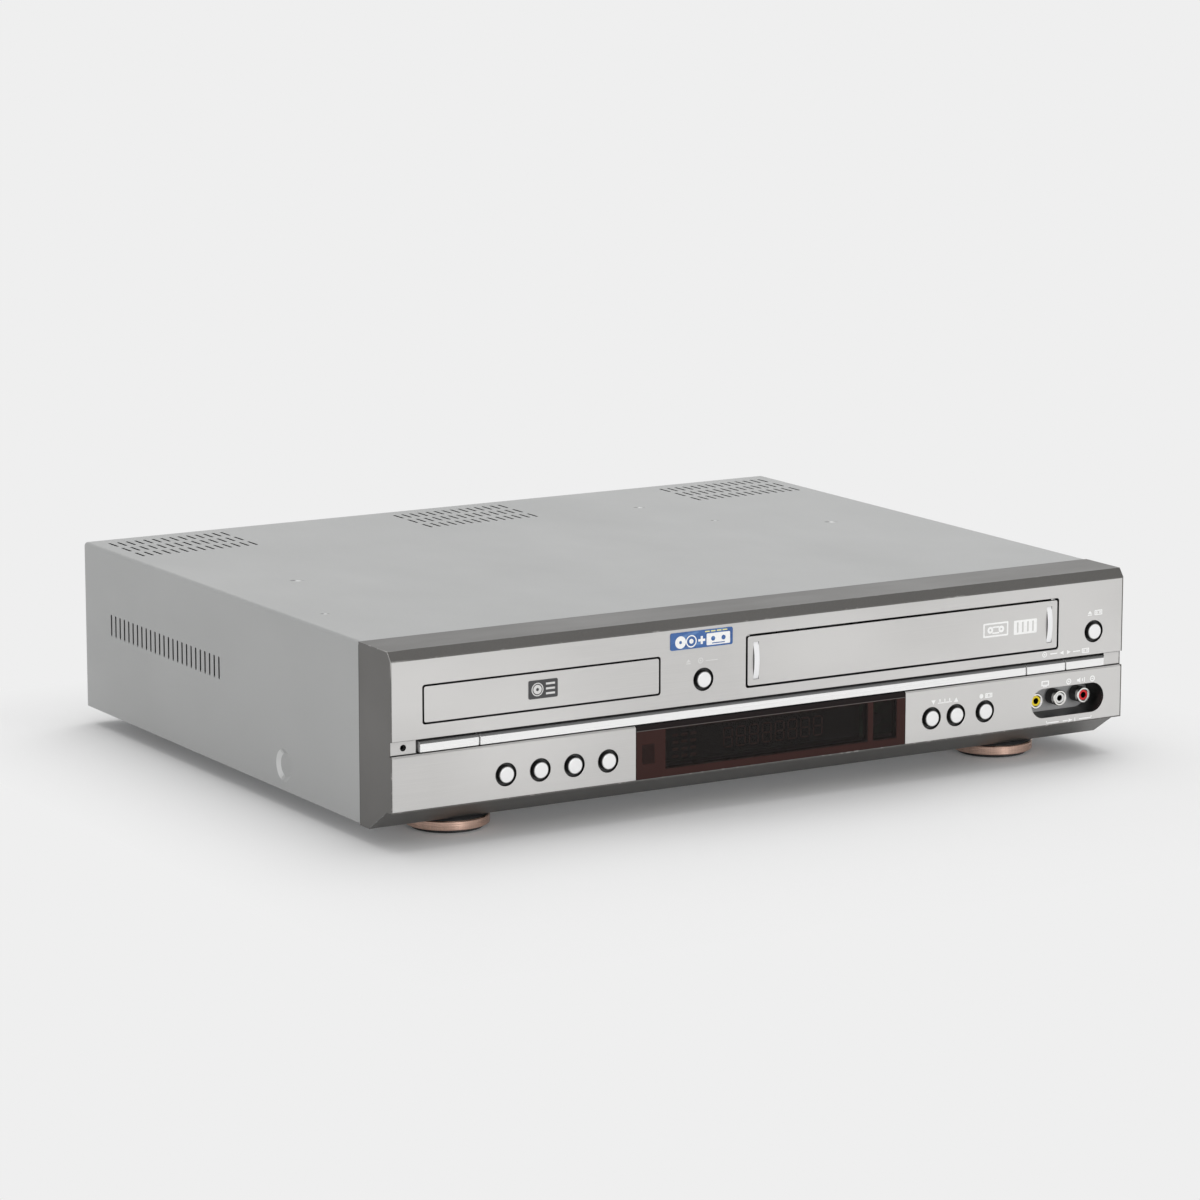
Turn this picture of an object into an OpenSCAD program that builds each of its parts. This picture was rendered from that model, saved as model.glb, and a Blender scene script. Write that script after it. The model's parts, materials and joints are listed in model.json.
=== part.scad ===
// Disc and cassette player in one low case: a sheet-metal cover over a folded chassis,
// a moulded front frame with silver plates, a disc loader on the left and a tape deck
// on the right.
//
// Sizes are millimetres. Pieces are drawn in "unit" coordinates: x = 0 at the middle of
// the case, y = 0 on the front face and growing to the rear, z = 0 at the cover's lower
// edge. on_unit() moves them to the part's own frame, whose origin is on the floor under
// the middle of the whole object.

/* [Case] */
// Width of the case
case_w = 430; // [426:1:440]
// Height of the cover, without the feet
cover_h = 89; // [88.5:0.5:94]
// Depth from the front face to the cover's rear edge
case_d = 345; // [340:1:360]
// Thickness of the cover and chassis sheet
sheet = 1; // [0.8:0.1:1.2]
// Outer bend radius of the cover's long upper edges
bend_r = 2; // [1.5:0.5:4]
// Height of the feet
foot_h = 9; // [8.5:0.5:12]
// Radius of a foot's metal ring
foot_r = 21; // [19:0.5:24]
// Distance of a foot's centre from the case's side
foot_in = 52.5; // [40:0.5:65]
// Depth of the front feet's centres behind the face
foot_front_y = 41; // [40.5:0.5:60]
// Distance of the rear feet's centres from the rear edge
foot_rear_gap = 45; // [35:1:60]

/* [Vents] */
// Width of one slot in the top
top_slot_w = 1.5; // [1:0.1:2.5]
// Length of one slot in the top
top_slot_l = 11.5; // [8:0.5:14]
// Pitch between slots in a row
top_slot_pitch = 5.08; // [4.5:0.02:5.4]
// Slots in a row
top_slot_count = 14; // [8:1:16]
// Pitch between the three rows
top_row_pitch = 16.5; // [15:0.5:20]
// Distance of the rearmost row's middle from the rear edge
top_row_gap = 15; // [12:0.5:20]
// Distance of each outer group's middle from the case's side
top_group_in = 43; // [39:1:90]
// Height of a slot in the side
side_slot_h = 11.8; // [8:0.2:16]
// Width of a slot in the side
side_slot_w = 1.6; // [1:0.1:2.5]
// Pitch between side slots
side_slot_pitch = 5.36; // [4.5:0.02:6]
// Slots in each side
side_slot_count = 25; // [10:1:26]
// Distance of the rearmost side slot from the rear edge
side_slot_gap = 32.36; // [20:0.02:40]
// Height of the side slots' middle
side_slot_z = 49.2; // [40:0.2:60]
// Radius of the drawn dimple low in each side
dimple_r = 8.3; // [7:0.1:9]
// Depth of the dimple
dimple_depth = 1.4; // [1:0.1:1.8]
// Depth of the dimple behind the face
dimple_y = 112.6; // [100:0.2:130]
// Height of the dimple's middle
dimple_z = 12.7; // [11:0.1:16]

/* [Front] */
// Depth of the front frame
frame_d = 32; // [28:0.5:33]
// Wall of the front frame
frame_wall = 2.5; // [2:0.1:2.8]
// Height of the face's lower edge
face_z0 = 10.9; // [9:0.1:11.5]
// Height of the bevel above the face
brow_h = 4.3; // [3.5:0.1:5]
// Depth of that bevel
brow_d = 3.3; // [2.5:0.1:4]
// Depth of the flat lip under the face
lip_d = 4.5; // [4:0.1:6]
// Depth at which the sloping chin ends
chin_d = 22.7; // [18:0.1:25]
// How far the frame's underside hangs below the cover
frame_drop = 0.9; // [0.5:0.1:1]
// Thickness of the silver plates and the window
plate_t = 1.7; // [1.4:0.1:2]
// Dark edge of the frame round the plates
plate_edge = 0.5; // [0.3:0.1:0.8]
// Height of the groove between the plates' front edges
groove_h = 8.1; // [7.9:0.1:9]
// Distance of the groove under the cassette opening
groove_gap = 5; // [4.6:0.1:6]
// Bevel on the upper edge of the lower plates
plate_bevel = 0.9; // [0.5:0.1:1.1]
// Distance of the bar channel's left end from the case's side
channel_in_left = 14.8; // [11:0.1:15]
// Distance of the bar channel's right end from the case's side
channel_in_right = 10.6; // [9:0.1:10.6]
// Height of the bars
bar_h = 5.1; // [4.5:0.1:5.4]
// Depth of the fixed bar, from the face to its seat
bar_seat = 5.5; // [5:0.1:6]
// Depth of the bars that are buttons
bar_button_d = 3.5; // [3:0.1:4]
// Bevel along a bar's upper edge
bar_bevel = 1.2; // [0.8:0.1:1.5]
// Gap between bars
bar_gap = 0.9; // [0.6:0.1:1.4]
// Length of the power bar
power_len = 32; // [28:0.5:36]
// Length of each selector bar
selector_len = 23.9; // [20:0.1:26]
// Distance of the display window's ends from the case's sides
window_in = 135.7; // [133:0.1:139]
// Bevel along the window's upper edge
window_bevel = 1.7; // [1:0.1:2]
// Distance of the display's opening from the window's left and right end
display_in = [16.8, 22.8]; // [5:0.1:30]
// Distance of both ends of the remote receiver's opening from the window's right end
receiver_in = [19.3, 5.3]; // [4:0.1:21]

/* [Buttons] */
// Radius of a round button's cap
cap_r = 4.2; // [3.8:0.1:4.6]
// Radius of the dark well round the cap
well_r = 5.8; // [5:0.1:6]
// Rounding of the cap's brow
cap_round = 0.9; // [0.5:0.1:1]
// How far the caps stand out of the face
cap_proud = 1.1; // [0.8:0.1:1.6]
// Travel of every button
button_travel = 0.9; // [0.6:0.1:1.1]
// Height of the lower row's axis, as a share of the height from the face's edge to the groove
low_row_share = 0.44; // [0.43:0.01:0.5]
// Distance of the left row's first button from the case's side
left_row_in = 62.5; // [59:0.5:65]
// Pitch of the left row
left_row_pitch = 19.05; // [17:0.05:19.5]
// Distance of the right row's first button from the case's side
right_row_in = 119.5; // [117:0.1:121]
// Distance from the first to the second button of the right row
channel_pitch = 15.1; // [13:0.1:16]
// Distance from the second to the third button of the right row
record_pitch = 18; // [15:0.1:19]
// Height of the two upper buttons over the cassette opening's lower edge
high_row_up = 7.2; // [5:0.1:9]
// Distance of the cassette eject button from the case's side
eject_in = 18.4; // [16:0.1:21]

/* [Front sockets] */
// Pitch of the three front sockets
jack_pitch = 15.1; // [14:0.1:16]
// Distance of the middle socket from the case's side
jack_in = 34.2; // [33:0.1:37]
// Width of the recess round the sockets
pocket_w = 45.8; // [44:0.1:47]
// Height of the recess
pocket_h = 15.5; // [14:0.1:16]
// Depth of the recess
pocket_d = 15; // [14.6:0.1:15.5]
// Depth of the sockets' mouths behind the face
jack_mouth = 6.5; // [6:0.1:8]
// Outer radius of a phono socket's shell
phono_r = 4.15; // [4.1:0.05:4.2]
// Radius of a phono socket's pin hole
phono_pin_r = 1.65; // [1.6:0.05:1.7]
// Depth of the pin hole
phono_depth = 7.6; // [7:0.1:7.6]

/* [Disc loader] */
// Distance of the disc loader's middle from the case's side
disc_in = 83.25; // [82:0.25:85]
// Width of the tray's opening in the front
tray_open_w = 132.3; // [131.5:0.1:133]
// Height of the tray's opening
tray_open_h = 19.3; // [19:0.1:20]
// Height of the opening's lower edge over the cassette opening's
tray_open_up = 1.9; // [1.4:0.1:2.4]
// Gap round the tray's front
tray_gap = 0.9; // [0.6:0.1:1.2]
// Depth of the tray's middle, where the disc lies
disc_y = 72; // [71:0.5:74]
// Radius of the disc's recess in the tray
disc_r = 60.5; // [60.2:0.1:61]
// Length of the tray behind its front
tray_len = 166; // [165:1:172]
// Width of the tray
tray_w = 126; // [125:0.5:127]
// Thickness of the tray
tray_h = 6.5; // [6.3:0.1:6.7]
// Height of the tray's underside over its opening's lower edge
tray_seat = 6.5; // [6.3:0.1:6.7]
// Travel of the tray
tray_travel = 138; // [130:1:140]
// Distance of the loader's floor under the tray
loader_drop = 20; // [19:0.5:21]
// Module of the gears: pitch diameter over teeth
tooth_m = 1; // [0.95:0.05:1.05]
// Lift of the turntable at its axis
disc_lift = 7.7; // [7:0.1:8]

/* [Tape deck] */
// Distance of the cassette opening's middle from the case's side
tape_in = 136.05; // [135:0.05:137]
// Width of the cassette opening in the front
slot_open_w = 190.5; // [190:0.1:191.5]
// Height of the cassette opening
slot_open_h = 26.9; // [26.5:0.1:27.5]
// Distance of the opening's upper edge under the cover's top
slot_top_gap = 11.5; // [11:0.1:12]
// Gap round the cassette door
door_gap = 1.1; // [0.9:0.1:1.3]
// Thickness of the door
door_t = 2; // [1.8:0.1:2.4]
// Width of a cassette
cassette_w = 188; // [187.5:0.1:188.2]
// Height of a cassette
cassette_h = 25; // [24.5:0.1:25.2]
// Distance of the deck plate's upper face under the cassette opening
deck_drop = 24.6; // [23.6:0.1:25.6]
// Depth at which the carrier's rear stop waits for a cassette
stop_y = 65; // [62:0.5:68]
// Travel of the carrier to the rear
carrier_in = 64; // [56:1:66]
// Travel of the carrier down onto the reels
carrier_down = 18; // [14:0.5:18]
// Radius of the head drum
drum_r = 31; // [30:0.5:31]
// Depth of the drum's axis
drum_y = 176; // [174:0.5:180]
// Tilt of the drum
drum_tilt = 5; // [4:0.5:6]
// Distance of the reel tables from the deck's middle
reel_half = 46; // [45:0.5:47]

/* [Rear] */
// How far the rear sockets stand out of the cover's rear edge
rear_out = 7; // [6:0.5:9]
// Pitch of the rear phono sockets
rear_pitch = 14; // [13.5:0.5:18]

/* [Hidden] */

$fn = 48;
eps = 0.01;

// Clearances
running = 0.05;
slip = 0.2;
side_play = 0.3;

// Case
half_w = case_w / 2;
foot_x = half_w - foot_in;
top_group_x = half_w - top_group_in;
side_slot_y = case_d - side_slot_gap - (side_slot_count - 1) * side_slot_pitch;
face_y = cap_proud - (cap_proud + case_d + rear_out) / 2;
chassis_half = half_w - sheet - dimple_depth - slip;
panel_y = case_d - 2 * sheet;
panel_top = cover_h - sheet - 0.1;

// Openings of the front, downwards from the cover's top
disc_x = disc_in - half_w;
tape_x = half_w - tape_in;
slot_open_z = cover_h - slot_top_gap - slot_open_h;
tray_open_z = slot_open_z + tray_open_up;
groove_z = slot_open_z - groove_gap - groove_h;

// Front frame
channel_x0 = channel_in_left - half_w;
channel_x1 = half_w - channel_in_right;
face_z1 = cover_h - brow_h;
wall_y = plate_t + frame_wall;
chin_slope = (face_z0 + frame_drop) / (chin_d - lip_d);
chin_wall = frame_wall / cos(atan(chin_slope));
channel_z0 = groove_z + plate_bevel;
channel_z1 = groove_z + groove_h;
window_half = half_w - window_in;
display_x = [display_in[0] - window_half, window_half - display_in[1]];
receiver_x = [window_half - receiver_in[0], window_half - receiver_in[1]];
trough_wall = 1.5;
trough_floor = 2;
bar_z = channel_z0 + 0.8;
trim_x0 = channel_x0 + bar_gap + power_len + bar_gap;
trim_x1 = channel_x1 - 2 * (selector_len + bar_gap) - bar_gap;
end_panel_t = 1.5;

// Buttons and front sockets
low_row_z = face_z0 + low_row_share * (channel_z0 - face_z0);
high_row_z = slot_open_z + high_row_up;
left_row_x = left_row_in - half_w;
right_row_x = half_w - right_row_in;
eject_x = half_w - eject_in;
open_close_x = (disc_x + tray_open_w / 2 + tape_x - slot_open_w / 2) / 2;
jack_x = half_w - jack_in;
jack_z = max(low_row_z, face_z0 + plate_edge + pocket_h / 2 + 0.2);

// Front board and its switches
board_t = 1.6;
board_y = 17;
switch_d = 3.5;
plunger_d = 1;
plunger_y = board_y - switch_d - plunger_d;
stem_y = plunger_y - button_travel - side_play;
stem_r = 1.5;
flange_t = 1;

// Disc loader
tray_z = tray_open_z + tray_seat;
loader_floor_z = tray_z - loader_drop;
tray_half = tray_w / 2;
loader_wall = 2;
loader_half = tray_half + side_play + loader_wall;
loader_y0 = 6;
loader_rear = 2 + tray_len + 12;
rack_drop = 4.5;
rack_x = -tray_half + 11;
pinion_teeth = 18;
spur_teeth = 32;
small_teeth = 12;
gear_x = rack_x + pinion_teeth * tooth_m / 2;
gear_y = 24;
pulley_x = gear_x + (spur_teeth + small_teeth) * tooth_m / 2;
pulley_r = 10.5;
motor_x = 14;
motor_y = 30;
motor_pulley_r = 3;
axle_r = 1.5;
spur_z = loader_floor_z + 9;
belt_z = loader_floor_z + 5.5;
belt_w = 2;
belt_t = 1.2;
recess_z = tray_z + 2.5;
pivot_y = disc_y + 98;
pivot_z = loader_floor_z + 8;
traverse_t = 2;
rod_z = pivot_z + 3;
rod_x = 24;
screw_x = 31;
sled_y = disc_y + 26;
sled_travel = 35;
flange_z = tray_z - 3.5;
clamper_z = tray_z + tray_h + 0.4;
bridge_z = clamper_z + 4.1;

// Tape deck
deck_t = 1.2;
deck_half = 103;
deck_y0 = 22;
deck_y1 = 235;
door_half = slot_open_w / 2 - door_gap;
door_z0 = slot_open_z + door_gap;
door_z1 = slot_open_z + slot_open_h - door_gap;
hinge_y = 5;
hinge_z = slot_open_z + slot_open_h + hinge_y;
hinge_r = 1.5;
lens_w = 3.1;
lens_h = 18.9;
lens_in = 4.9;
lens_proud = 0.9;
lens_sunk = 0.5;
carrier_half = cassette_w / 2 + 0.5;
slider_half = carrier_half + sheet + side_play;
slider_t = 1.2;
guide_half = slider_half + slider_t + side_play;
guide_t = 1.5;
cassette_z = slot_open_z + 0.5;
carrier_y0 = stop_y - 39;
lid_z = cassette_z + cassette_h + 0.4;
deck_z = slot_open_z - deck_drop;
drum_z = deck_z + 4;
capstan_x = 62;
capstan_y = 138;
pinch_x = 80;
pinch_y = 165;
pinch_len = 30;
pinch_rest = 176.7;
roller_r = 6.5;
tape_posts = [[-70, 134], [-44, 146], [30, 140], [82, 140]];
post_h = 24;

// Boards: the main board fills the right and the front, the supply the left rear corner
pcb_z = 7;
pcb_y0 = 60;
pcb_rear = case_d - 12;
pcb_half = chassis_half - 6;
main_x0 = -48;
supply_x1 = main_x0 - 6;
supply_y0 = 188;
pillar_x = pcb_half - 11;
pillar_front_y = pcb_y0 + 10;
pillar_rear_y = pcb_rear - 13;
chip_half = 12;
chip_t = 2;
sink_h = 26;
leg_r = 4;
deck_leg_x = 98;
deck_leg_y = [38, 228];
loader_leg_x = 60;
loader_leg_y = [38, 172];

// Rear
rear_row_z = [20, 34, 48];
rear_phono_x = half_w - 119;
rear_flange_r = 6.5;
aerial_x = half_w - 47;
aerial_r = 5;
inlet_x = 45 - half_w;
inlet_w = 16;
inlet_h = 8.4;
inlet_z = 30;
screw_xs = [35 - half_w, 0, half_w - 35];
vent_count = 19;
vent_pitch = 7;
vent_x = -50;
vent_z = 62;
cover_screw_z = cover_h - 8;
cover_screw_r = 1.4;

silver = [0.76, 0.75, 0.74];
dark_grey = [0.34, 0.33, 0.32];
near_white = [0.9, 0.9, 0.89];
black = [0.08, 0.08, 0.08];
steel = [0.62, 0.63, 0.64];
board_green = [0.12, 0.32, 0.2];

// ---------------------------------------------------------------- helpers

// Moves unit coordinates to the part's own frame
module on_unit() {
  translate([0, face_y, foot_h]) children();
}

// Box between two corners
module block(low, high) {
  translate(low) cube(high - low);
}

// Extrudes a (y, z) outline along x, from x0 to x1
module across(x0, x1) {
  translate([x0, 0, 0]) rotate([90, 0, 90]) linear_extrude(x1 - x0) children();
}

// Extrudes an (x, z) outline along y, from y0 to y1
module rearward(y0, y1) {
  translate([0, y1, 0]) rotate([90, 0, 0]) linear_extrude(y1 - y0) children();
}

// Cylinder along y
module rod_y(r, y0, y1) {
  translate([0, y0, 0]) rotate([-90, 0, 0]) cylinder(r = r, h = y1 - y0);
}

// Cylinder along x
module rod_x_axis(r, x0, x1) {
  translate([x0, 0, 0]) rotate([0, 90, 0]) cylinder(r = r, h = x1 - x0);
}

// Turns an (r, y) outline about the y axis
module turned_y() {
  rotate([-90, 0, 0]) rotate_extrude() children();
}

// Copies its children to the left and right of the middle
module both_sides() {
  children();
  mirror([1, 0, 0]) children();
}

// Rectangle with round corners, round the origin
module round_rect(w, h, r) {
  square([w - 2 * r, h], center = true);
  square([w, h - 2 * r], center = true);
  for (x = [-1, 1], z = [-1, 1])
    translate([x * (w / 2 - r), z * (h / 2 - r)]) circle(r = r);
}

// Slot with round ends, round the origin, long along the second axis
module slot_shape(w, len) {
  square([w, len - w], center = true);
  for (s = [-1, 1])
    translate([0, s * (len - w) / 2]) circle(d = w, $fn = 24);
}

// Spur gear outline with straight flanks
module gear_shape(teeth) {
  pitch_r = teeth * tooth_m / 2;
  root_r = pitch_r - 1.15 * tooth_m;
  tip_r = pitch_r + 0.85 * tooth_m;
  step = 360 / teeth;
  polygon([for (i = [0:teeth - 1])
    for (p = [[root_r, -0.31], [tip_r, -0.13], [tip_r, 0.13], [root_r, 0.31]])
      [p[0] * cos((i + p[1]) * step), p[0] * sin((i + p[1]) * step)]]);
}

// Points along an arc round [x, 0]
function arc_points(x, r, from, to, steps = 24) =
  [for (i = [0:steps]) [x + r * cos(from + (to - from) * i / steps), r * sin(from + (to - from) * i / steps)]];

// Outline round two circles of radius r1 and r2, d apart along x
module belt_shape(r1, r2, d) {
  a = acos((r1 - r2) / d);
  polygon(concat(arc_points(0, r1, a, 360 - a), arc_points(d, r2, -a, a)));
}

// ---------------------------------------------------------------- case

// Arch outline of the cover: flat feet, rounded upper corners
module arch(w, h, r) {
  translate([-w / 2, 0]) square([w, h - r]);
  translate([-w / 2 + r, 0]) square([w - 2 * r, h]);
  for (s = [-1, 1])
    translate([s * (w / 2 - r), h - r]) circle(r = r);
}

module top_slots() {
  rear_row = case_d - top_row_gap;
  span = (top_slot_count - 1) * top_slot_pitch;
  for (group = [-top_group_x, 0, top_group_x], row = [0:2], i = [0:top_slot_count - 1])
    translate([group - span / 2 + i * top_slot_pitch, rear_row - row * top_row_pitch])
      slot_shape(top_slot_w, top_slot_l);
}

module side_slots() {
  for (i = [0:side_slot_count - 1])
    translate([side_slot_y + i * side_slot_pitch, side_slot_z])
      slot_shape(side_slot_w, side_slot_h);
}

// Dish drawn into each side: the outer face sinks, the inner face bulges by the same depth
module dimple(face_x, floor_r) {
  translate([face_x, dimple_y, dimple_z]) rotate([0, -90, 0])
    rotate_extrude() polygon([[0, -eps], [dimple_r, -eps], [dimple_r, 0],
                              [floor_r, dimple_depth], [0, dimple_depth]]);
}

module top_cover() {
  color(silver) on_unit() difference() {
    union() {
      difference() {
        rearward(frame_d, case_d) arch(case_w, cover_h, bend_r);
        translate([0, 0, -eps]) rearward(frame_d - eps, case_d - sheet)
          arch(case_w - 2 * sheet, cover_h - sheet + eps, bend_r - sheet / 2);
        // below the rear lip
        block([-half_w + sheet, case_d - 2 * sheet, -eps],
              [half_w - sheet, case_d + eps, cover_h - 14]);
      }
      both_sides() dimple(half_w - sheet + eps, dimple_r - 1.5);
    }
    translate([0, 0, cover_h - sheet - eps]) linear_extrude(sheet + 2 * eps) top_slots();
    across(-half_w - eps, -half_w + sheet + eps) side_slots();
    across(half_w - sheet - eps, half_w + eps) side_slots();
    both_sides() dimple(half_w + eps, dimple_r - 2.5);
    for (x = screw_xs)
      translate([x, 0, cover_screw_z]) rod_y(cover_screw_r + slip, case_d - 3 * sheet, case_d + eps);
  }
}

module base_chassis() {
  flange_h = 17;
  color(steel) on_unit() difference() {
    union() {
      block([-chassis_half, frame_d, 0], [chassis_half, panel_y, sheet]);
      both_sides()
        block([chassis_half - sheet, frame_d, 0], [chassis_half, panel_y, flange_h]);
      // pillars under the boards
      for (p = [[-pillar_x, pillar_front_y], [main_x0 + 8, pillar_front_y], [pillar_x, pillar_front_y],
                [-pillar_x, supply_y0 + 8], [-pillar_x, pillar_rear_y], [supply_x1 - 10, pillar_rear_y],
                [main_x0 + 8, pillar_rear_y], [pillar_x, pillar_rear_y]])
        translate([p[0], p[1], sheet / 2]) cylinder(r = 3, h = pcb_z - sheet / 2);
    }
    // slots in the floor under the boards
    for (x = [-120, 80], i = [-8:8])
      translate([x + i * 8, 250, -eps]) linear_extrude(2 * sheet) slot_shape(3, 40);
  }
}

module at_rear_phonos() {
  for (column = [-1:1], z = rear_row_z)
    translate([rear_phono_x + column * rear_pitch, 0, z]) children();
}

module at_aerials() {
  for (z = [rear_row_z[0], rear_row_z[2]])
    translate([aerial_x, 0, z]) children();
}

module rear_panel() {
  color(silver) on_unit() difference() {
    rearward(panel_y, panel_y + sheet) arch(case_w - 2 * sheet - 0.2, panel_top, bend_r);
    at_rear_phonos() rod_y(phono_r + 0.65 + slip, panel_y - eps, case_d);
    at_aerials() rod_y(aerial_r + slip, panel_y - eps, case_d);
    translate([inlet_x, 0, inlet_z]) rearward(panel_y - eps, case_d)
      round_rect(inlet_w + 5 + 2 * slip, inlet_h + 5 + 2 * slip, 2);
    for (x = screw_xs)
      translate([x, 0, cover_screw_z]) rod_y(cover_screw_r + slip, panel_y - eps, case_d);
    // ventilation slots
    rearward(panel_y - eps, case_d)
      for (i = [0:vent_count - 1])
        translate([vent_x + (i - (vent_count - 1) / 2) * vent_pitch, vent_z]) slot_shape(3, 16);
  }
}

// One screw: domed head with a cross recess, plain shank
module cover_screw() {
  difference() {
    turned_y() polygon([[0, -4], [cover_screw_r, -4], [cover_screw_r, 0], [3, 0],
                        [3, 1], [2.2, 1.8], [0, 1.8]]);
    for (a = [0, 90])
      rotate([0, a, 0]) block([-1.6, 0.8, -0.35], [1.6, 2, 0.35]);
  }
}

module cover_screws() {
  color(steel) on_unit()
    for (x = screw_xs)
      translate([x, case_d, cover_screw_z]) cover_screw();
}

// ---------------------------------------------------------------- feet

module at_feet() {
  for (x = [-foot_x, foot_x], y = [foot_front_y, case_d - foot_rear_gap])
    translate([x, y, 0]) children();
}

module feet() {
  cup_r = foot_r - 1.5;
  neck_r = foot_front_y - frame_d - slip;
  color(black) on_unit() at_feet() difference() {
    rotate_extrude($fn = 96) polygon([
      [0, -foot_h], [cup_r - 1.6, -foot_h], [cup_r - 1.1, -foot_h + 0.5], [cup_r - 1.1, -foot_h + 1.6],
      [cup_r, -foot_h + 1.6], [cup_r, -frame_drop - 1.2], [cup_r - 1, -frame_drop - slip],
      [neck_r, -frame_drop - slip], [neck_r, 0], [0, 0]
    ]);
    // hollow for the fixing screw's head
    translate([0, 0, -foot_h - eps]) cylinder(r = 6, h = foot_h - 2.5);
  }
}

module foot_rings() {
  seat_r = foot_r - 1.5 + running;
  low = -foot_h + 1.8;
  high = -frame_drop - 1.6;
  color([0.72, 0.5, 0.42]) on_unit() at_feet() rotate_extrude($fn = 96) polygon([
    [seat_r, low], [foot_r - 0.4, low], [foot_r, low + 0.4], [foot_r, high - 0.5],
    [foot_r - 0.5, high], [seat_r, high]
  ]);
}

// ---------------------------------------------------------------- front

module frame_outline() {
  polygon([
    [0, face_z0], [0, face_z1], [brow_d, cover_h], [frame_d, cover_h],
    [frame_d, -frame_drop], [chin_d, -frame_drop], [lip_d, face_z0]
  ]);
}

// Inside of the frame, one wall in from the outline
module frame_hollow() {
  chin_in = face_z0 + chin_wall - chin_slope * (wall_y - lip_d);
  floor_in = frame_wall - frame_drop;
  chin_end = lip_d + (face_z0 + chin_wall - floor_in) / chin_slope;
  polygon([
    [wall_y, chin_in], [wall_y, cover_h - frame_wall], [frame_d + eps, cover_h - frame_wall],
    [frame_d + eps, floor_in], [chin_end, floor_in]
  ]);
}

// Seats for the plates, and the groove that runs out through both ends
module plate_seats() {
  inner = half_w - plate_edge;
  block([-inner, -eps, face_z0 + plate_edge], [inner, plate_t, channel_z0]);
  block([-inner, -eps, channel_z1], [inner, plate_t, face_z1 - plate_edge]);
  block([-half_w - eps, -eps, channel_z0 - eps], [half_w + eps, plate_t, channel_z1 + eps]);
  // seats of the two end panels
  block([-inner, -eps, channel_z0], [channel_x0 - 0.4, plate_t + end_panel_t, channel_z1]);
  block([channel_x1 + 0.2, -eps, channel_z0], [inner, plate_t + end_panel_t, channel_z1]);
}

module tray_opening(grow) {
  translate([disc_x, tray_open_z + tray_open_h / 2])
    round_rect(tray_open_w + 2 * grow, tray_open_h + 2 * grow, 1.5);
}

module slot_opening(grow) {
  translate([tape_x, slot_open_z + slot_open_h / 2])
    round_rect(slot_open_w + 2 * grow, slot_open_h + 2 * grow, 1.5);
}

module pocket_shape(grow) {
  translate([jack_x, jack_z])
    round_rect(pocket_w + 2 * grow, pocket_h + 2 * grow, pocket_h / 2 + grow - eps);
}

function left_button_x(i) = left_row_x + i * left_row_pitch;
right_button_x = [right_row_x, right_row_x + channel_pitch, right_row_x + channel_pitch + record_pitch];

// Calls its children once at every round button
module at_round_buttons() {
  for (i = [0:3])
    translate([left_button_x(i), 0, low_row_z]) children();
  for (x = right_button_x)
    translate([x, 0, low_row_z]) children();
  translate([open_close_x, 0, high_row_z]) children();
  translate([eject_x, 0, high_row_z]) children();
}

// Middles of the three bars that are buttons
power_x = channel_x0 + bar_gap + power_len / 2;
disc_select_x = trim_x1 + bar_gap + selector_len / 2;
tape_select_x = disc_select_x + selector_len + bar_gap;
bar_mid_z = bar_z + bar_h / 2;

module front_frame() {
  ear_t = 2;
  color(dark_grey) on_unit() difference() {
    union() {
      difference() {
        across(-half_w, half_w) frame_outline();
        across(-half_w + frame_wall, half_w - frame_wall) frame_hollow();
      }
      // trough behind the bars
      block([channel_x0 - trough_wall, wall_y - eps, channel_z0 - trough_wall],
            [channel_x1 + trough_wall, bar_seat + trough_floor, channel_z1 + trough_wall]);
      // walls of the socket recess
      rearward(plate_t, pocket_d) pocket_shape(1.5);
      // bosses for the front board
      for (x = [-172, -86, 86, 145])
        translate([x, 0, groove_z - 4.2]) rod_y(2.5, wall_y - eps, board_y);
      // ears for the door's pins
      for (s = [-1, 1])
        translate([tape_x + s * (door_half + ear_t / 2 + 0.4), 0, 0])
          across(-ear_t / 2, ear_t / 2) polygon([
            [wall_y - eps, hinge_z - 4], [hinge_y + 4, hinge_z - 4],
            [hinge_y + 5, cover_h - frame_wall + eps], [wall_y - eps, cover_h - frame_wall + eps]
          ]);
    }
    plate_seats();
    block([channel_x0, -eps, channel_z0], [channel_x1, bar_seat, channel_z1]);
    rearward(-eps, wall_y + eps) tray_opening(0);
    rearward(-eps, wall_y + eps) slot_opening(0);
    rearward(-eps, pocket_d + eps) pocket_shape(0);
    // the display and the remote control's receiver look out here
    for (ends = [display_x, receiver_x])
      block([ends[0], -eps, face_z0 + 4.5], [ends[1], wall_y + eps, channel_z0 - 3.2]);
    at_round_buttons() rod_y(cap_r + slip, -eps, wall_y + eps);
    for (x = [power_x, disc_select_x, tape_select_x])
      translate([x, 0, bar_mid_z]) rod_y(stem_r + slip, 0, bar_seat + trough_floor + eps);
    // indicator hole in the left end
    translate([(channel_x0 - half_w) / 2, 0, (channel_z0 + channel_z1) / 2]) rod_y(1, 0, wall_y + eps);
    // room for the door's arms behind the upper plate, and the pin holes in the ears
    for (s = [-1, 1]) {
      arm_x = tape_x + s * (door_half - 1.2);
      block([arm_x - 2, plate_t, slot_open_z + slot_open_h - 2], [arm_x + 2, wall_y + eps, hinge_z + 3]);
    }
    translate([0, hinge_y, hinge_z])
      rod_x_axis(hinge_r + running, tape_x - door_half - 5, tape_x + door_half + 5);
  }
}

module upper_fascia() {
  play = 0.05;
  color(silver) on_unit() difference() {
    block([-half_w + plate_edge + play, 0, channel_z1 + play],
          [half_w - plate_edge - play, plate_t, face_z1 - plate_edge - play]);
    rearward(-eps, plate_t + eps) tray_opening(0);
    rearward(-eps, plate_t + eps) slot_opening(0);
    at_round_buttons() rod_y(well_r, -eps, plate_t + eps);
  }
}

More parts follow.
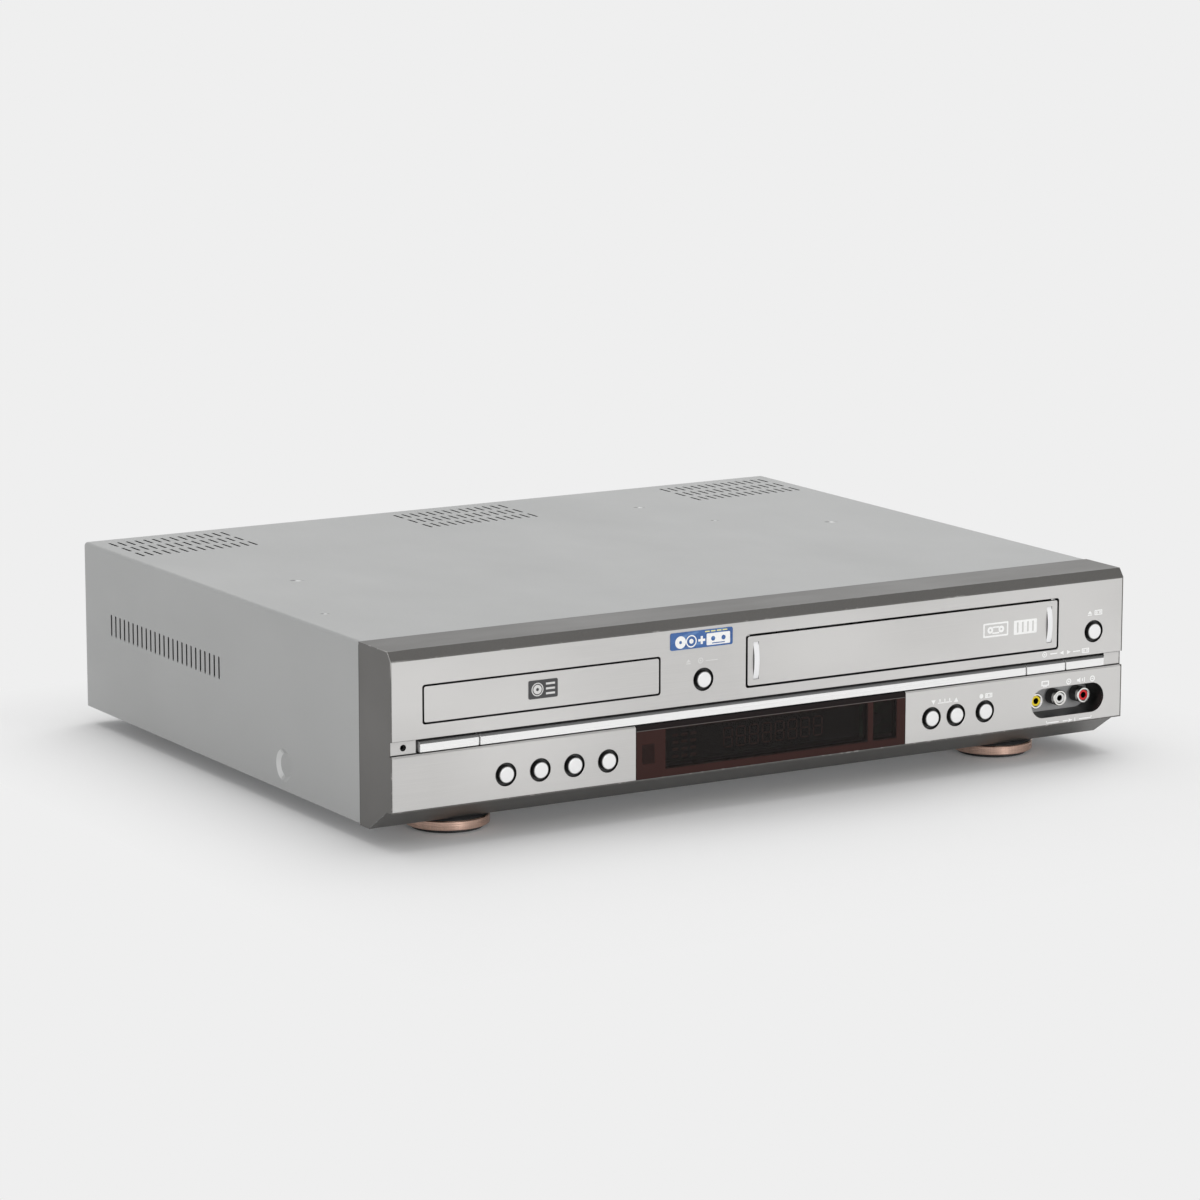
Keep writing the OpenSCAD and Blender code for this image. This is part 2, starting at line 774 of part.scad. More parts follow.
// Side view of a plate or window with a bevelled upper edge
module bevelled_plate(bevel_h) {
  polygon([
    [0, face_z0 + plate_edge + 0.05], [0, channel_z0 - bevel_h], [plate_bevel, channel_z0],
    [plate_t, channel_z0], [plate_t, face_z0 + plate_edge + 0.05]
  ]);
}

module lower_fascia() {
  gap = 0.3;
  outer = half_w - plate_edge - 0.05;
  color(silver) on_unit() difference() {
    union() {
      across(-outer, -window_half - gap) bevelled_plate(plate_bevel);
      across(window_half + gap, outer) bevelled_plate(plate_bevel);
      // recessed panels at the groove's ends
      block([-outer, plate_t, channel_z0 + 0.4], [channel_x0 - 0.5, plate_t + end_panel_t, channel_z1 - 0.4]);
      block([channel_x1 + 0.3, plate_t, channel_z0 + 0.4], [outer, plate_t + end_panel_t, channel_z1 - 0.4]);
    }
    at_round_buttons() rod_y(well_r, -eps, plate_t + eps);
    rearward(-eps, plate_t + eps) pocket_shape(0);
    translate([(channel_x0 - half_w) / 2, 0, (channel_z0 + channel_z1) / 2]) rod_y(1.6, 0, wall_y);
  }
}

module display_window() {
  color([0.22, 0.12, 0.1, 0.9]) on_unit() across(-window_half, window_half) bevelled_plate(window_bevel);
}

// Side view of a bar: flat front, bevel above
module bar_outline(depth) {
  polygon([
    [0, bar_z], [0, bar_z + bar_h - bar_bevel], [bar_bevel - 0.1, bar_z + bar_h],
    [depth, bar_z + bar_h], [depth, bar_z]
  ]);
}

module trim_bar() {
  color(near_white) on_unit() across(trim_x0, trim_x1) bar_outline(bar_seat);
}

// A bar that is a button: the bar and the stem that reaches its switch
module bar_button(mid_x, len) {
  color(near_white) on_unit() union() {
    across(mid_x - len / 2, mid_x + len / 2) bar_outline(bar_button_d);
    translate([mid_x, 0, bar_mid_z]) rod_y(stem_r, bar_button_d - eps, stem_y);
  }
}

module power_button() {
  bar_button(power_x, power_len);
}

module disc_select_button() {
  bar_button(disc_select_x, selector_len);
}

module tape_select_button() {
  bar_button(tape_select_x, selector_len);
}

// A round button: cap with a rounded brow, retaining flange behind the wall, stem
module round_button(x, z) {
  back = wall_y + 0.1;
  brow = [for (a = [0:22.5:90])
    [cap_r - cap_round + cap_round * sin(a), cap_round - cap_proud - cap_round * cos(a)]];
  color(near_white) on_unit() translate([x, 0, z]) turned_y() polygon(concat(
    [[0, -cap_proud]], brow,
    [[cap_r, back], [cap_r + 1, back], [cap_r + 1, back + flange_t], [stem_r, back + flange_t],
     [stem_r, stem_y], [0, stem_y]]
  ));
}

module left_button_1() {
  round_button(left_button_x(0), low_row_z);
}

module left_button_2() {
  round_button(left_button_x(1), low_row_z);
}

module left_button_3() {
  round_button(left_button_x(2), low_row_z);
}

module left_button_4() {
  round_button(left_button_x(3), low_row_z);
}

module channel_down_button() {
  round_button(right_button_x[0], low_row_z);
}

module channel_up_button() {
  round_button(right_button_x[1], low_row_z);
}

module record_button() {
  round_button(right_button_x[2], low_row_z);
}

module open_close_button() {
  round_button(open_close_x, high_row_z);
}

module eject_button() {
  round_button(eject_x, high_row_z);
}

// ---------------------------------------------------------------- front board and sockets

module tact_switch() {
  block([-3, board_y - switch_d, -3], [3, board_y + eps, 3]);
  rod_y(stem_r, plunger_y, board_y - switch_d + eps);
}

module front_board() {
  low = face_z0 + 3;
  right = half_w - frame_wall - 5;
  color(board_green) on_unit() union() {
    block([-half_w + frame_wall + 15, board_y, low], [right, board_y + board_t, channel_z0 - 1]);
    // tongues behind the bars and the two upper buttons
    block([power_x - 8, board_y, low], [power_x + 8, board_y + board_t, channel_z1 + 1.5]);
    block([disc_select_x - 8, board_y, low], [right, board_y + board_t, channel_z1 + 1.5]);
    block([open_close_x - 8, board_y, low], [open_close_x + 8, board_y + board_t, high_row_z + 7]);
    block([eject_x - 7, board_y, low], [right, board_y + board_t, high_row_z + 7]);
    at_round_buttons() tact_switch();
    for (x = [power_x, disc_select_x, tape_select_x])
      translate([x, 0, bar_mid_z]) tact_switch();
  }
}

// Flat glass display on its holder, and the receiver's dome beside it
module display_tube() {
  color([0.12, 0.16, 0.15, 0.9]) on_unit() {
    union() {
      block([display_x[0] + 1, wall_y + 2, face_z0 + 6], [display_x[1] - 1, wall_y + 7, channel_z0 - 5]);
      block([display_x[0] + 7, wall_y + 7 - eps, face_z0 + 9], [display_x[1] - 7, board_y, channel_z0 - 8]);
    }
    translate([(receiver_x[0] + receiver_x[1]) / 2, 0, (face_z0 + channel_z0) / 2])
      rod_y(3, wall_y + 3, board_y);
  }
}

module at_front_jacks() {
  for (i = [-1:1])
    translate([jack_x + i * jack_pitch, 0, jack_z]) children();
}

insert_r = 2.6;
insert_y = jack_mouth + 0.4;
shell_end = jack_mouth + 2;
jack_end = pocket_d - running;

// Floor plate of the recess and the three sockets' black bodies, which stand on it
module front_jack_block() {
  color([0.6, 0.6, 0.6]) on_unit()
    block([jack_x - pocket_w / 2 - 1, pocket_d, jack_z - pocket_h / 2 - 1],
          [jack_x + pocket_w / 2 + 1, board_y, jack_z + pocket_h / 2 + 1]);
  color(black) on_unit() at_front_jacks() turned_y() polygon([
    [insert_r + running, shell_end], [phono_r, shell_end], [phono_r, jack_end], [insert_r + running, jack_end]
  ]);
}

module front_jack_shells() {
  color([0.85, 0.8, 0.6]) on_unit() at_front_jacks() turned_y() polygon([
    [insert_r + 0.15, jack_mouth + 0.3], [insert_r + 0.5, jack_mouth], [phono_r - 0.3, jack_mouth],
    [phono_r, jack_mouth + 0.3], [phono_r, shell_end], [insert_r + 0.15, shell_end]
  ]);
}

module jack_insert(index) {
  on_unit() translate([jack_x + index * jack_pitch, 0, jack_z]) difference() {
    rod_y(insert_r, insert_y, jack_end);
    rod_y(phono_pin_r, insert_y - eps, insert_y + phono_depth);
  }
}

module jack_insert_yellow() {
  color([0.9, 0.72, 0.1]) jack_insert(-1);
}

module jack_insert_white() {
  color([0.92, 0.92, 0.9]) jack_insert(0);
}

module jack_insert_red() {
  color([0.75, 0.1, 0.1]) jack_insert(1);
}

// ---------------------------------------------------------------- cassette door

module at_door_lenses() {
  for (s = [-1, 1])
    translate([tape_x + s * (door_half - lens_in), 0, (door_z0 + door_z1) / 2]) children();
}

module door_arm() {
  polygon([
    [door_t - eps, door_z1 - 6], [door_t - eps, door_z1 - 0.6], [hinge_y - 2.1, hinge_z],
    [hinge_y + 2.1, hinge_z], [hinge_y + 1.4, hinge_z - 5], [door_t + 1.6, door_z1 - 6]
  ]);
  translate([hinge_y, hinge_z]) circle(r = 2.1);
}

module cassette_door() {
  arm_t = 2.4;
  h = door_z1 - door_z0;
  color(silver) on_unit() difference() {
    union() {
      rearward(0, door_t) translate([tape_x, door_z0 + h / 2]) round_rect(2 * door_half, h, 1);
      // stiffening rim behind the panel
      rearward(door_t - eps, door_t + 1.2) translate([tape_x, door_z0 + h / 2]) difference() {
        square([2 * door_half - 1.4, h - 1.4], center = true);
        square([2 * door_half - 4.4, h - 4.4], center = true);
      }
      for (s = [-1, 1]) {
        inner = tape_x + s * (door_half - arm_t);
        outer = tape_x + s * door_half;
        across(min(inner, outer), max(inner, outer)) door_arm();
        pin = tape_x + s * (door_half + 2.4);
        translate([0, hinge_y, hinge_z]) rod_x_axis(hinge_r, min(inner, pin), max(inner, pin));
      }
    }
    at_door_lenses() rearward(-eps, door_t + eps) square([lens_w, lens_h], center = true);
  }
}

// Two light bars whose faces bow out of the door between their sunk ends
module door_lenses() {
  half_w = lens_w / 2 - running;
  half_h = lens_h / 2 - running;
  bow = lens_proud + lens_sunk;
  bow_r = (half_h * half_h + bow * bow) / (2 * bow);
  color([0.95, 0.95, 0.97]) on_unit() at_door_lenses() across(-half_w, half_w) intersection() {
    translate([bow_r - lens_proud, 0]) circle(r = bow_r, $fn = 256);
    translate([-lens_proud - eps, -half_h]) square([door_t + lens_proud + eps, 2 * half_h]);
  }
}

// ---------------------------------------------------------------- disc loader

// Moves loader coordinates (x = 0 at the loader's middle) to unit coordinates
module on_loader() {
  on_unit() translate([disc_x, 0, 0]) children();
}

module loader_side() {
  polygon([
    [loader_y0, tray_z - 1.7], [loader_y0, tray_z + tray_h + 2], [loader_rear, tray_z + tray_h + 2],
    [loader_rear, loader_floor_z], [board_y + board_t + 1, loader_floor_z],
    [board_y + board_t + 1, tray_z - 1.7]
  ]);
}

module gear_post(x, y, top, boss) {
  translate([x, y, loader_floor_z]) cylinder(r = axle_r, h = top - loader_floor_z);
  translate([x, y, loader_floor_z]) cylinder(r = axle_r + 1.5, h = boss - loader_floor_z);
}

module loader_frame() {
  floor_t = 2;
  floor_y = board_y + board_t + 1;
  window_x = 36;
  color(black) on_loader() difference() {
    union() {
      both_sides() {
        across(loader_half - loader_wall, loader_half) loader_side();
        // ledge under the tray, and the guides over it
        block([tray_half - 4, loader_y0, tray_z - 1.7], [loader_half - eps, loader_rear, tray_z - 0.1]);
        for (y = [loader_y0, loader_y0 + 70, loader_rear - 14])
          block([tray_half - 2.5, y, tray_z + tray_h + 0.1],
                [loader_half - eps, y + 12, tray_z + tray_h + 1.5]);
        for (y = loader_leg_y)
          translate([loader_leg_x, y, sheet]) cylinder(r = leg_r, h = loader_floor_z);
        // ears of the traverse's pivot
        block([window_x - 2.5, pivot_y - 4, loader_floor_z], [window_x, pivot_y + 4, pivot_z + 4]);
      }
      block([-loader_half, floor_y, loader_floor_z], [loader_half, loader_rear, loader_floor_z + floor_t]);
      gear_post(gear_x, gear_y, tray_z - 0.5, spur_z - 0.1);
      gear_post(pulley_x, gear_y, spur_z + 4, belt_z - 1.6);
    }
    // window for the traverse
    block([-window_x + 2.5, disc_y - 24, loader_floor_z - eps],
          [window_x - 2.5, pivot_y + 6, loader_floor_z + floor_t + eps]);
    translate([0, pivot_y, pivot_z]) rod_x_axis(2 + running, -window_x - 1, window_x + 1);
    translate([motor_x, motor_y, loader_floor_z - eps]) cylinder(r = 2.5, h = floor_t + 2 * eps);
  }
}

// Straight rack outline: teeth towards +x, first gap in line with the gear at rest
module rack_shape(back_x, y0, y1) {
  pitch = PI * tooth_m;
  root = rack_x - 1.15 * tooth_m;
  tip = rack_x + 0.85 * tooth_m;
  first = gear_y + pitch / 2 - pitch * floor((gear_y + pitch / 2 - y0 - pitch / 2) / pitch);
  count = floor((y1 - pitch / 2 - first) / pitch);
  polygon(concat(
    [[back_x, y0], [root, y0]],
    [for (i = [0:count]) for (p = [[root, -0.31], [tip, -0.13], [tip, 0.13], [root, 0.31]])
      [p[0], first + (i + p[1]) * pitch]],
    [[root, y1], [back_x, y1]]
  ));
}

module disc_tray() {
  y0 = door_t;
  y1 = door_t + tray_len;
  color([0.14, 0.14, 0.15]) on_loader() difference() {
    union() {
      block([-tray_half, y0, tray_z], [tray_half, y1, tray_z + tray_h]);
      translate([0, 0, tray_z - rack_drop]) linear_extrude(rack_drop + eps)
        rack_shape(rack_x - 5, gear_y - 12, y1);
      // plain rib on the other side
      block([-rack_x - 1, gear_y - 12, tray_z - rack_drop + 2], [-rack_x + 3, y1, tray_z + eps]);
    }
    translate([0, disc_y, recess_z]) cylinder(r = disc_r, h = tray_h, $fn = 96);
    translate([0, disc_y, recess_z - 0.8]) cylinder(r = 40.5, h = tray_h, $fn = 96);
    // slot for the turntable and the pickup
    translate([0, disc_y, tray_z - eps]) cylinder(r = 20, h = tray_h, $fn = 96);
    block([-20, disc_y, tray_z - eps], [20, disc_y + 66, recess_z + eps]);
    // finger hollows beside the disc
    for (s = [-1, 1])
      translate([s * 44, y0 + 13, tray_z + 2.5]) cylinder(r = 9, h = tray_h);
    // hollow rear corners
    for (s = [-1, 1])
      block([s * 40 - 14, y1 - 18, tray_z + 2.5], [s * 40 + 14, y1 - 4, tray_z + tray_h + eps]);
  }
}

module tray_front() {
  w = tray_open_w - 2 * tray_gap;
  h = tray_open_h - 2 * tray_gap;
  color(silver) on_loader() union() {
    rearward(0, door_t) translate([0, tray_open_z + tray_open_h / 2]) round_rect(w, h, 1);
  }
}

module tray_gear() {
  color(near_white) on_loader() translate([gear_x, gear_y, 0]) difference() {
    union() {
      translate([0, 0, spur_z + 2]) linear_extrude(tray_z - spur_z - 2.3) gear_shape(pinion_teeth);
      translate([0, 0, spur_z]) linear_extrude(2.5) gear_shape(spur_teeth);
    }
    translate([0, 0, spur_z - eps]) cylinder(r = axle_r + running, h = tray_z);
  }
}

module pulley_gear() {
  half_step = 180 / small_teeth;
  color(near_white) on_loader() translate([pulley_x, gear_y, 0]) difference() {
    union() {
      rotate([0, 0, half_step]) translate([0, 0, belt_z + 1.4]) linear_extrude(spur_z + 2.6 - belt_z - 1.4)
        gear_shape(small_teeth);
      // grooved pulley
      rotate_extrude() polygon([
        [0, belt_z - 1.5], [pulley_r + 1.6, belt_z - 1.5], [pulley_r + 1.6, belt_z - 1.1],
        [pulley_r, belt_z - 1.05], [pulley_r, belt_z + 1.05], [pulley_r + 1.6, belt_z + 1.1],
        [pulley_r + 1.6, belt_z + 1.5], [0, belt_z + 1.5]
      ]);
    }
    translate([0, 0, belt_z - 2]) cylinder(r = axle_r + running, h = 20);
  }
}

module motor_pulley() {
  top = belt_z + 1.5;
  color([0.7, 0.6, 0.3]) on_loader() translate([motor_x, motor_y, 0]) rotate_extrude() polygon([
    [0, loader_floor_z - 14], [1, loader_floor_z - 14], [1, belt_z - 1.5],
    [motor_pulley_r + 1, belt_z - 1.5], [motor_pulley_r + 1, belt_z - 1.1],
    [motor_pulley_r, belt_z - 1.05], [motor_pulley_r, belt_z + 1.05], [motor_pulley_r + 1, belt_z + 1.1],
    [motor_pulley_r + 1, top], [0, top]
  ]);
}

module loader_belt() {
  dx = motor_x - pulley_x;
  dy = motor_y - gear_y;
  color(black) on_loader()
    translate([pulley_x, gear_y, belt_z - belt_w / 2]) rotate([0, 0, atan2(dy, dx)])
      linear_extrude(belt_w) difference() {
        belt_shape(pulley_r + slip + belt_t, motor_pulley_r + slip + belt_t, norm([dx, dy]));
        belt_shape(pulley_r + slip, motor_pulley_r + slip, norm([dx, dy]));
      }
}

module loader_motor() {
  can_r = 9;
  top = loader_floor_z;
  color(steel) on_loader() translate([motor_x, motor_y, 0]) difference() {
    rotate_extrude() polygon([
      [0, top - 18], [2.5, top - 18], [2.5, top - 16.5], [can_r - 0.6, top - 16.5],
      [can_r, top - 15.9], [can_r, top], [0, top]
    ]);
    translate([0, 0, top - 14.2]) cylinder(r = 1 + running, h = 20);
  }
}

module clamp_bridge() {
  y0 = disc_y - 12;
  y1 = disc_y + 12;
  seat = tray_z + tray_h + 2;
  color(steel) on_loader() difference() {
    union() {
      block([-loader_half, y0, bridge_z], [loader_half, y1, bridge_z + 1.5]);
      both_sides() block([loader_half - loader_wall, y0, seat], [loader_half, y1, bridge_z + 1.5]);
      translate([0, disc_y, bridge_z]) cylinder(r = 16, h = 1.5, $fn = 64);
      both_sides() translate([36, disc_y, bridge_z]) cylinder(r = 2.5, h = 2.6);
    }
    translate([0, disc_y, bridge_z - eps]) cylinder(r = 9, h = 3);
  }
}

module clamper() {
  flange = bridge_z + 1.6;
  color(near_white) on_loader() translate([0, disc_y, 0]) rotate_extrude($fn = 64) polygon([
    [0, clamper_z + 1.4], [7.8, clamper_z + 1.4], [8.4, clamper_z], [13.2, clamper_z],
    [14, clamper_z + 0.8], [14, clamper_z + 2.9], [8.7, clamper_z + 2.9], [8.7, flange],
    [12.5, flange], [12.5, flange + 1.2], [11.8, flange + 1.6], [0, flange + 1.6]
  ]);
}

module traverse() {
  half = 31;
  y0 = disc_y - 18;
  motor_r = 12.5;
  screw_y0 = disc_y + 14;
  screw_y1 = pivot_y - 18;
  color([0.2, 0.2, 0.21]) on_loader() difference() {
    union() {
      block([-half, y0, pivot_z - traverse_t / 2], [half, pivot_y, pivot_z + traverse_t / 2]);
      // pivot bar along the rear edge
      translate([0, pivot_y, pivot_z]) rod_x_axis(2, -36, 36);
      // spindle motor under the plate
      translate([0, disc_y, pivot_z - 9]) cylinder(r = motor_r, h = 9);
      translate([0, disc_y, pivot_z]) cylinder(r = 4, h = flange_z - pivot_z - 1.7);
      // rods of the sled with their end blocks
      both_sides() {
        translate([rod_x, 0, rod_z]) rod_y(1.5, screw_y0 - 4, screw_y1 + 4);
        for (y = [screw_y0 - 4, screw_y1])
          block([rod_x - 2.5, y, pivot_z], [rod_x + 2.5, y + 4, rod_z + 2]);
      }
      // bearings of the lead screw
      for (y = [screw_y0 - 4, screw_y1])
        block([screw_x - 4, y, pivot_z], [screw_x + 2.5, y + 4, rod_z + 2]);
      block([screw_x - 4, y0 + 10, pivot_z - 1], [screw_x + 2.5, screw_y1 + 4, pivot_z + 1]);
    }
    block([-19, disc_y + 18, pivot_z - 5], [19, screw_y1 - 2, pivot_z + 5]);
    translate([0, disc_y, pivot_z - 7]) cylinder(r = 1 + running, h = 30);
    translate([screw_x, 0, rod_z]) rod_y(1 + running, screw_y0 - 6, screw_y1 + 6);
  }
}

module turntable() {
  color(steel) on_loader() translate([0, disc_y, 0]) rotate_extrude($fn = 64) polygon([
    [0, pivot_z - 6.5], [1, pivot_z - 6.5], [1, flange_z - 1.5], [15, flange_z - 1.5],
    [15, flange_z], [7.4, flange_z], [7.2, flange_z + 1.2], [5, flange_z + 2.6],
    [2, flange_z + 3], [0, flange_z + 3]
  ]);
}

module pickup_sled() {
  low = rod_z - 1.7;
  color([0.1, 0.1, 0.12]) on_loader() difference() {
    union() {
      block([-rod_x - 3, sled_y - 10, low], [rod_x + 3, sled_y + 10, rod_z + 1.9]);
      block([-14, sled_y - 9, rod_z], [14, sled_y + 9, rod_z + 4.4]);
      translate([0, sled_y - 2, rod_z + 4]) cylinder(r = 3.4, h = 1.3);
      // arm that follows the lead screw
      block([rod_x, sled_y - 3, low], [screw_x + 2, sled_y + 3, rod_z + 1.9]);
    }
    both_sides() translate([rod_x, 0, rod_z]) rod_y(1.5 + running, sled_y - 11, sled_y + 11);
    translate([screw_x, 0, rod_z]) rod_y(1.6 + side_play, sled_y - 4, sled_y + 4);
    block([screw_x, sled_y - 4, rod_z - 1.6 - side_play], [screw_x + 3, sled_y + 4, rod_z + 1.6 + side_play]);
  }
}

// Lead screw: ridges in place of the fine thread, and its drive wheel
module sled_screw() {
  y0 = disc_y + 14;
  y1 = pivot_y - 18;
  ridges = 19;
  step = (y1 - y0 - 2) / ridges;
  color(steel) on_loader() translate([screw_x, 0, rod_z]) turned_y() polygon(concat(
    [[0, y0 - 3.8], [1, y0 - 3.8], [1, y0 + 1]],
    [for (i = [0:ridges - 1]) for (p = [[1.1, 0.1], [1.6, 0.45], [1.6, 0.55], [1.1, 0.9]])
      [p[0], y0 + 1 + (i + p[1]) * step]],
    [[1, y1 - 1], [1, y1 + 4.2], [1.8, y1 + 4.2], [1.8, y1 + 7], [0, y1 + 7]]
  ));
}

// ---------------------------------------------------------------- tape deck

// Moves deck coordinates (x = 0 at the cassette's middle) to unit coordinates
module on_deck() {
  on_unit() translate([tape_x, 0, 0]) children();
}

pinch_axis = [pinch_x, pinch_y];
roller_axis = pinch_axis + pinch_len * [cos(pinch_rest), sin(pinch_rest)];

module deck_plate() {
  color(steel) on_deck() difference() {
    union() {
      block([-deck_half, deck_y0, deck_z - deck_t], [deck_half, deck_y1, deck_z]);
      for (x = [-deck_leg_x, deck_leg_x], y = deck_leg_y)
        translate([x, y, sheet]) cylinder(r = leg_r, h = deck_z - deck_t - sheet + eps);
      // bearing of the capstan and the pivot of the pinch arm
      translate([capstan_x, capstan_y, deck_z - 4]) cylinder(r = 5, h = 6);
      translate([pinch_axis[0], pinch_axis[1], deck_z - eps]) cylinder(r = 4, h = 2);
      translate([pinch_axis[0], pinch_axis[1], deck_z]) cylinder(r = 2, h = 7);
      // spindles of the reel tables
      for (s = [-1, 1])
        translate([s * reel_half, stop_y + 11, deck_z - eps]) cylinder(r = 1.5, h = 8);
      for (p = tape_posts)
        translate([p[0], p[1], deck_z - eps]) cylinder(r = 2, h = post_h);
    }
    translate([capstan_x, capstan_y, 0]) cylinder(r = hinge_r + running, h = 60);
    // curved paths of the loading guides beside the drum
    for (s = [-1, 1])
      translate([0, drum_y, deck_z - 2]) rotate([0, 0, s < 0 ? 150 : 330])
        rotate_extrude(angle = 60) translate([drum_r + 8, 0]) square([4, 4]);
    // lightening hole between the reels
    translate([0, stop_y + 11, deck_z - 2]) cylinder(r = 20, h = 4);
  }
}

// Places its children on the tilted drum axis, z = 0 at the lower drum's foot
module on_drum_axis() {
  on_deck() translate([0, drum_y, drum_z]) rotate([drum_tilt, 0, 0]) children();
}

module lower_drum() {
  color(steel) difference() {
    union() {
      on_drum_axis() cylinder(r = drum_r, h = 13, $fn = 96);
      on_deck() translate([0, drum_y, deck_z]) cylinder(r = drum_r - 4, h = 8, $fn = 96);
    }
    on_drum_axis() translate([0, 0, 2]) cylinder(r = 3 + running, h = 20);
    // flat underside on the deck, also where the drum leans over
    on_deck() block([-40, drum_y - 40, deck_z - 8], [40, drum_y + 40, deck_z]);
  }
}

module upper_drum() {
  color([0.75, 0.76, 0.77]) on_drum_axis() rotate_extrude($fn = 96) polygon([
    [0, 2.5], [3, 2.5], [3, 13.3], [drum_r, 13.3], [drum_r, 25], [drum_r - 1, 26], [24, 26],
    [24, 24], [12, 24], [12, 29], [0, 29]
  ]);
}

module capstan() {
  wheel_r = 22;
  color(steel) on_deck() translate([capstan_x, capstan_y, 0]) rotate_extrude($fn = 64) polygon([
    [0, deck_z - 14], [wheel_r, deck_z - 14], [wheel_r, deck_z - 8], [4, deck_z - 8],
    [4, deck_z - 4.2], [hinge_r, deck_z - 4.2], [hinge_r, deck_z + 32], [0, deck_z + 32]
  ]);
}

module pinch_arm() {
  z0 = deck_z + 2.2;
  color(steel) on_deck() difference() {
    union() {
      translate([pinch_axis[0], pinch_axis[1], z0]) cylinder(r = 5, h = 2);
      translate([pinch_axis[0], pinch_axis[1], z0]) rotate([0, 0, pinch_rest])
        block([0, -3, 0], [pinch_len, 3, 2]);
      translate([roller_axis[0], roller_axis[1], z0]) cylinder(r = 3.5, h = 2);
      translate([roller_axis[0], roller_axis[1], z0]) cylinder(r = hinge_r, h = 22);
    }
    translate([pinch_axis[0], pinch_axis[1], z0 - eps]) cylinder(r = 2 + running, h = 3);
  }
}

module pinch_roller() {
  z0 = deck_z + 4.4;
  color(black) on_deck() translate([roller_axis[0], roller_axis[1], z0]) difference() {
    cylinder(r = roller_r, h = 17);
    translate([0, 0, -eps]) cylinder(r = hinge_r + running, h = 18);
  }
}

// Reel table: toothed rim, hub and three splines that take a cassette's hub
module reel_table() {
  translate([0, stop_y + 11, deck_z + 0.2]) difference() {
    union() {
      linear_extrude(3) gear_shape(34);
      cylinder(r = 9, h = 5.5);
      cylinder(r = 4.6, h = 17);
      for (a = [0, 120, 240])
        rotate([0, 0, a]) block([3, -1, 3], [6.6, 1, 14]);
    }
    translate([0, 0, -eps]) cylinder(r = hinge_r + running, h = 9);
  }
}

module supply_reel() {
  color(near_white) on_deck() translate([-reel_half, 0, 0]) reel_table();
}

module takeup_reel() {
  color(near_white) on_deck() translate([reel_half, 0, 0]) reel_table();
}

slider_z0 = cassette_z - 7;
slider_z1 = lid_z + 2;
slider_y0 = carrier_y0 + 2;
slider_y1 = stop_y + 1;
pin_y = [carrier_y0 + 8, stop_y - 7];
pin_z = lid_z - 7;

module carrier_guides() {
  color(steel) on_deck() both_sides() difference() {
    union() {
      block([guide_half, carrier_y0 - 2, deck_z], [guide_half + guide_t, stop_y + carrier_in + 3, slider_z1 + 1.4]);
      // lips that hold the slider from above and below
      for (z = [slider_z0 - 1.3, slider_z1 + 0.3])
        block([slider_half, carrier_y0 - 2, z], [guide_half + eps, stop_y + carrier_in + 3, z + 1]);
    }
    // window in the plate
    block([guide_half - eps, carrier_y0 + 8, deck_z + 4],
          [guide_half + guide_t + eps, stop_y + carrier_in - 8, slider_z0 - 6]);
  }
}

module carrier_slider() {
  color([0.5, 0.5, 0.52]) on_deck() difference() {
    union() {
      both_sides() block([slider_half, slider_y0, slider_z0], [slider_half + slider_t, slider_y1, slider_z1]);
      // tie bar over the carrier
      both_sides() block([slider_half - 0.2, slider_y1 - 10, slider_z1 - 1.5], [slider_half + slider_t, slider_y1 - 4, slider_z1]);
      block([-slider_half, slider_y1 - 9, slider_z1 - 1], [slider_half, slider_y1 - 5, slider_z1]);
    }
    both_sides() for (y = pin_y)
      translate([0, y, pin_z - carrier_down / 2]) across(slider_half - 1, slider_half + slider_t + 1)
        slot_shape(2 * hinge_r + 2 * side_play, carrier_down + 2 * hinge_r + 2 * side_play);
  }
}

module cassette_carrier() {
  floor_z = cassette_z - 0.1;
  color([0.55, 0.55, 0.56]) on_deck() union() {
    both_sides() {
      // side wall, floor ledge and rear stop
      block([carrier_half, carrier_y0, floor_z - sheet], [carrier_half + sheet, stop_y + sheet, lid_z + sheet]);
      block([carrier_half - 12, carrier_y0, floor_z - sheet], [carrier_half + eps, stop_y + sheet, floor_z]);
      block([carrier_half - 24, stop_y, floor_z - sheet], [carrier_half + eps, stop_y + sheet, floor_z + 12]);
      for (y = pin_y)
        translate([0, y, pin_z]) rod_x_axis(hinge_r, carrier_half, slider_half + slider_t);
    }
    // sprung lid over the cassette
    block([-carrier_half - sheet, carrier_y0 + 16, lid_z], [carrier_half + sheet, stop_y + sheet, lid_z + sheet]);
  }
}

// ---------------------------------------------------------------- boards

// Flat chip and upright capacitor, both standing on a board
module chip(x, y) {
  block([x - chip_half, y - chip_half, board_t - eps], [x + chip_half, y + chip_half, board_t + chip_t]);
}

module capacitor(x, y, r, h) {
  translate([x, y, board_t - eps]) cylinder(r = r, h = h);
}

// Room in the main board for a leg that stands on the chassis
module leg_hole(x, y) {
  translate([x, y, -eps]) cylinder(r = leg_r + 1, h = 2 * pcb_z);
}

